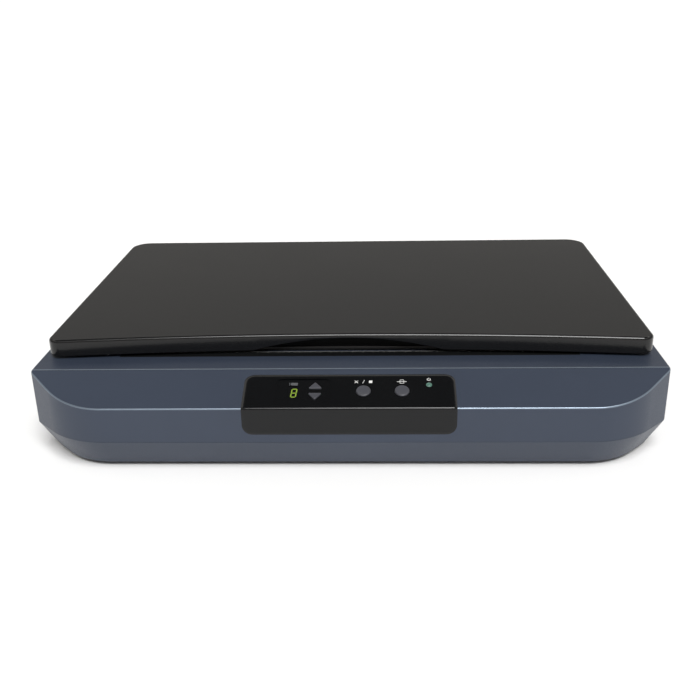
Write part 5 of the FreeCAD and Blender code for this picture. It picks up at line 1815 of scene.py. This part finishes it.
def studio():
    """Pale horizon, a dim sky for the gloss to show, and a ring of light for the edges."""
    world = bpy.data.worlds.new("studio")
    bpy.context.scene.world = world
    world.use_nodes = True
    tree = world.node_tree
    tree.nodes.clear()
    direction = add(tree, "ShaderNodeTexCoord").outputs["Generated"]
    height = add(tree, "ShaderNodeSeparateXYZ", {"Vector": direction}).outputs["Z"]
    bands = []
    for rise, fall in SKY_BANDS:
        slopes = [add(tree, "ShaderNodeMapRange", {
            "Value": height, "From Min": start, "From Max": end, "To Min": low, "To Max": high,
        }).outputs["Result"] for start, end, low, high in (rise, fall)]
        bands.append(add(tree, "ShaderNodeMath", {0: slopes[0], 1: slopes[1]},
                         operation="MULTIPLY").outputs[0])
    strength = bands[0]
    for band in bands[1:]:
        strength = add(tree, "ShaderNodeMath", {0: strength, 1: band}, operation="ADD").outputs[0]
    sky = add(tree, "ShaderNodeBackground", {"Color": (1.0, 0.975, 0.93, 1.0),
                                             "Strength": strength})
    add(tree, "ShaderNodeOutputWorld", {"Surface": sky.outputs[0]})


# The camera: its place in metres, its yaw, downward pitch and roll, and its lens and film

CAMERA_PLACE = (0.0324, -0.9079, 0.4096)
CAMERA_TURN = (-0.039, 0.391, -0.02)
CAMERA_LENS = 46.29
CAMERA_FILM = 36


class SCANNER_OT_stage(bpy.types.Operator):
    """Set up the pale floor, the soft light and the camera"""
    bl_idname = "scanner.stage"
    bl_label = "Stage"

    def execute(self, context):
        mesh = bmesh.new()
        bmesh.ops.create_grid(mesh, x_segments=1, y_segments=1, size=40)
        floor = as_object(mesh, "floor")
        tree = new_material("pale_floor")
        end_material(tree, {"Base Color": linear("#f4f4f4"), "Roughness": 0.9})
        floor.data.materials.append(bpy.data.materials["pale_floor"])
        studio()
        soft_sun("key_light", height=58, side=14, spread=32, strength=3.05)
        context.scene.view_settings.view_transform = "Standard"
        data = bpy.data.cameras.new("camera")
        data.lens = CAMERA_LENS
        data.sensor_width = CAMERA_FILM
        camera = bpy.data.objects.new("camera", data)
        context.scene.collection.objects.link(camera)
        yaw, pitch, roll = CAMERA_TURN
        ahead = Vector((math.sin(yaw) * math.cos(pitch), math.cos(yaw) * math.cos(pitch),
                        -math.sin(pitch)))
        right = Vector((math.cos(yaw), -math.sin(yaw), 0))
        up = right.cross(ahead)
        rows = (right * math.cos(roll) + up * math.sin(roll),
                up * math.cos(roll) - right * math.sin(roll), -ahead)
        turn = Matrix(rows).transposed().to_4x4()
        camera.matrix_world = Matrix.Translation(CAMERA_PLACE) @ turn
        context.scene.camera = camera
        return {"FINISHED"}


OPERATORS = [
    SCANNER_OT_finishes, SCANNER_OT_housing, SCANNER_OT_lid, SCANNER_OT_hinges,
    SCANNER_OT_panel, SCANNER_OT_keys, SCANNER_OT_lights, SCANNER_OT_signs,
    SCANNER_OT_platen, SCANNER_OT_screws, SCANNER_OT_drive, SCANNER_OT_electronics,
    SCANNER_OT_carriage, SCANNER_OT_stage,
]


class SCANNER_PT_sidebar(bpy.types.Panel):
    """Sizes, colours and steps of the scanner's looks"""
    bl_idname = "SCANNER_PT_sidebar"
    bl_label = "Flatbed scanner"
    bl_space_type = "VIEW_3D"
    bl_region_type = "UI"
    bl_category = "Scanner"

    def draw(self, context):
        layout = self.layout
        for title, group in (("Sizes", context.scene.scanner_sizes),
                             ("Colours", context.scene.scanner_colours)):
            layout.label(text=title)
            column = layout.column()
            for name in type(group).__annotations__:
                column.prop(group, name)
        layout.label(text="Steps")
        for operator in OPERATORS:
            layout.operator(operator.bl_idname)


CLASSES = [ScannerSizes, ScannerColours] + OPERATORS + [SCANNER_PT_sidebar]


def register():
    for item in CLASSES:
        bpy.utils.register_class(item)
    bpy.types.Scene.scanner_sizes = PointerProperty(type=ScannerSizes)
    bpy.types.Scene.scanner_colours = PointerProperty(type=ScannerColours)


def unregister():
    del bpy.types.Scene.scanner_colours
    del bpy.types.Scene.scanner_sizes
    for item in reversed(CLASSES):
        bpy.utils.unregister_class(item)


def main():
    register()
    for operator in OPERATORS:
        getattr(bpy.ops.scanner, operator.bl_idname.split(".")[1])()


if __name__ == "__main__":
    main()
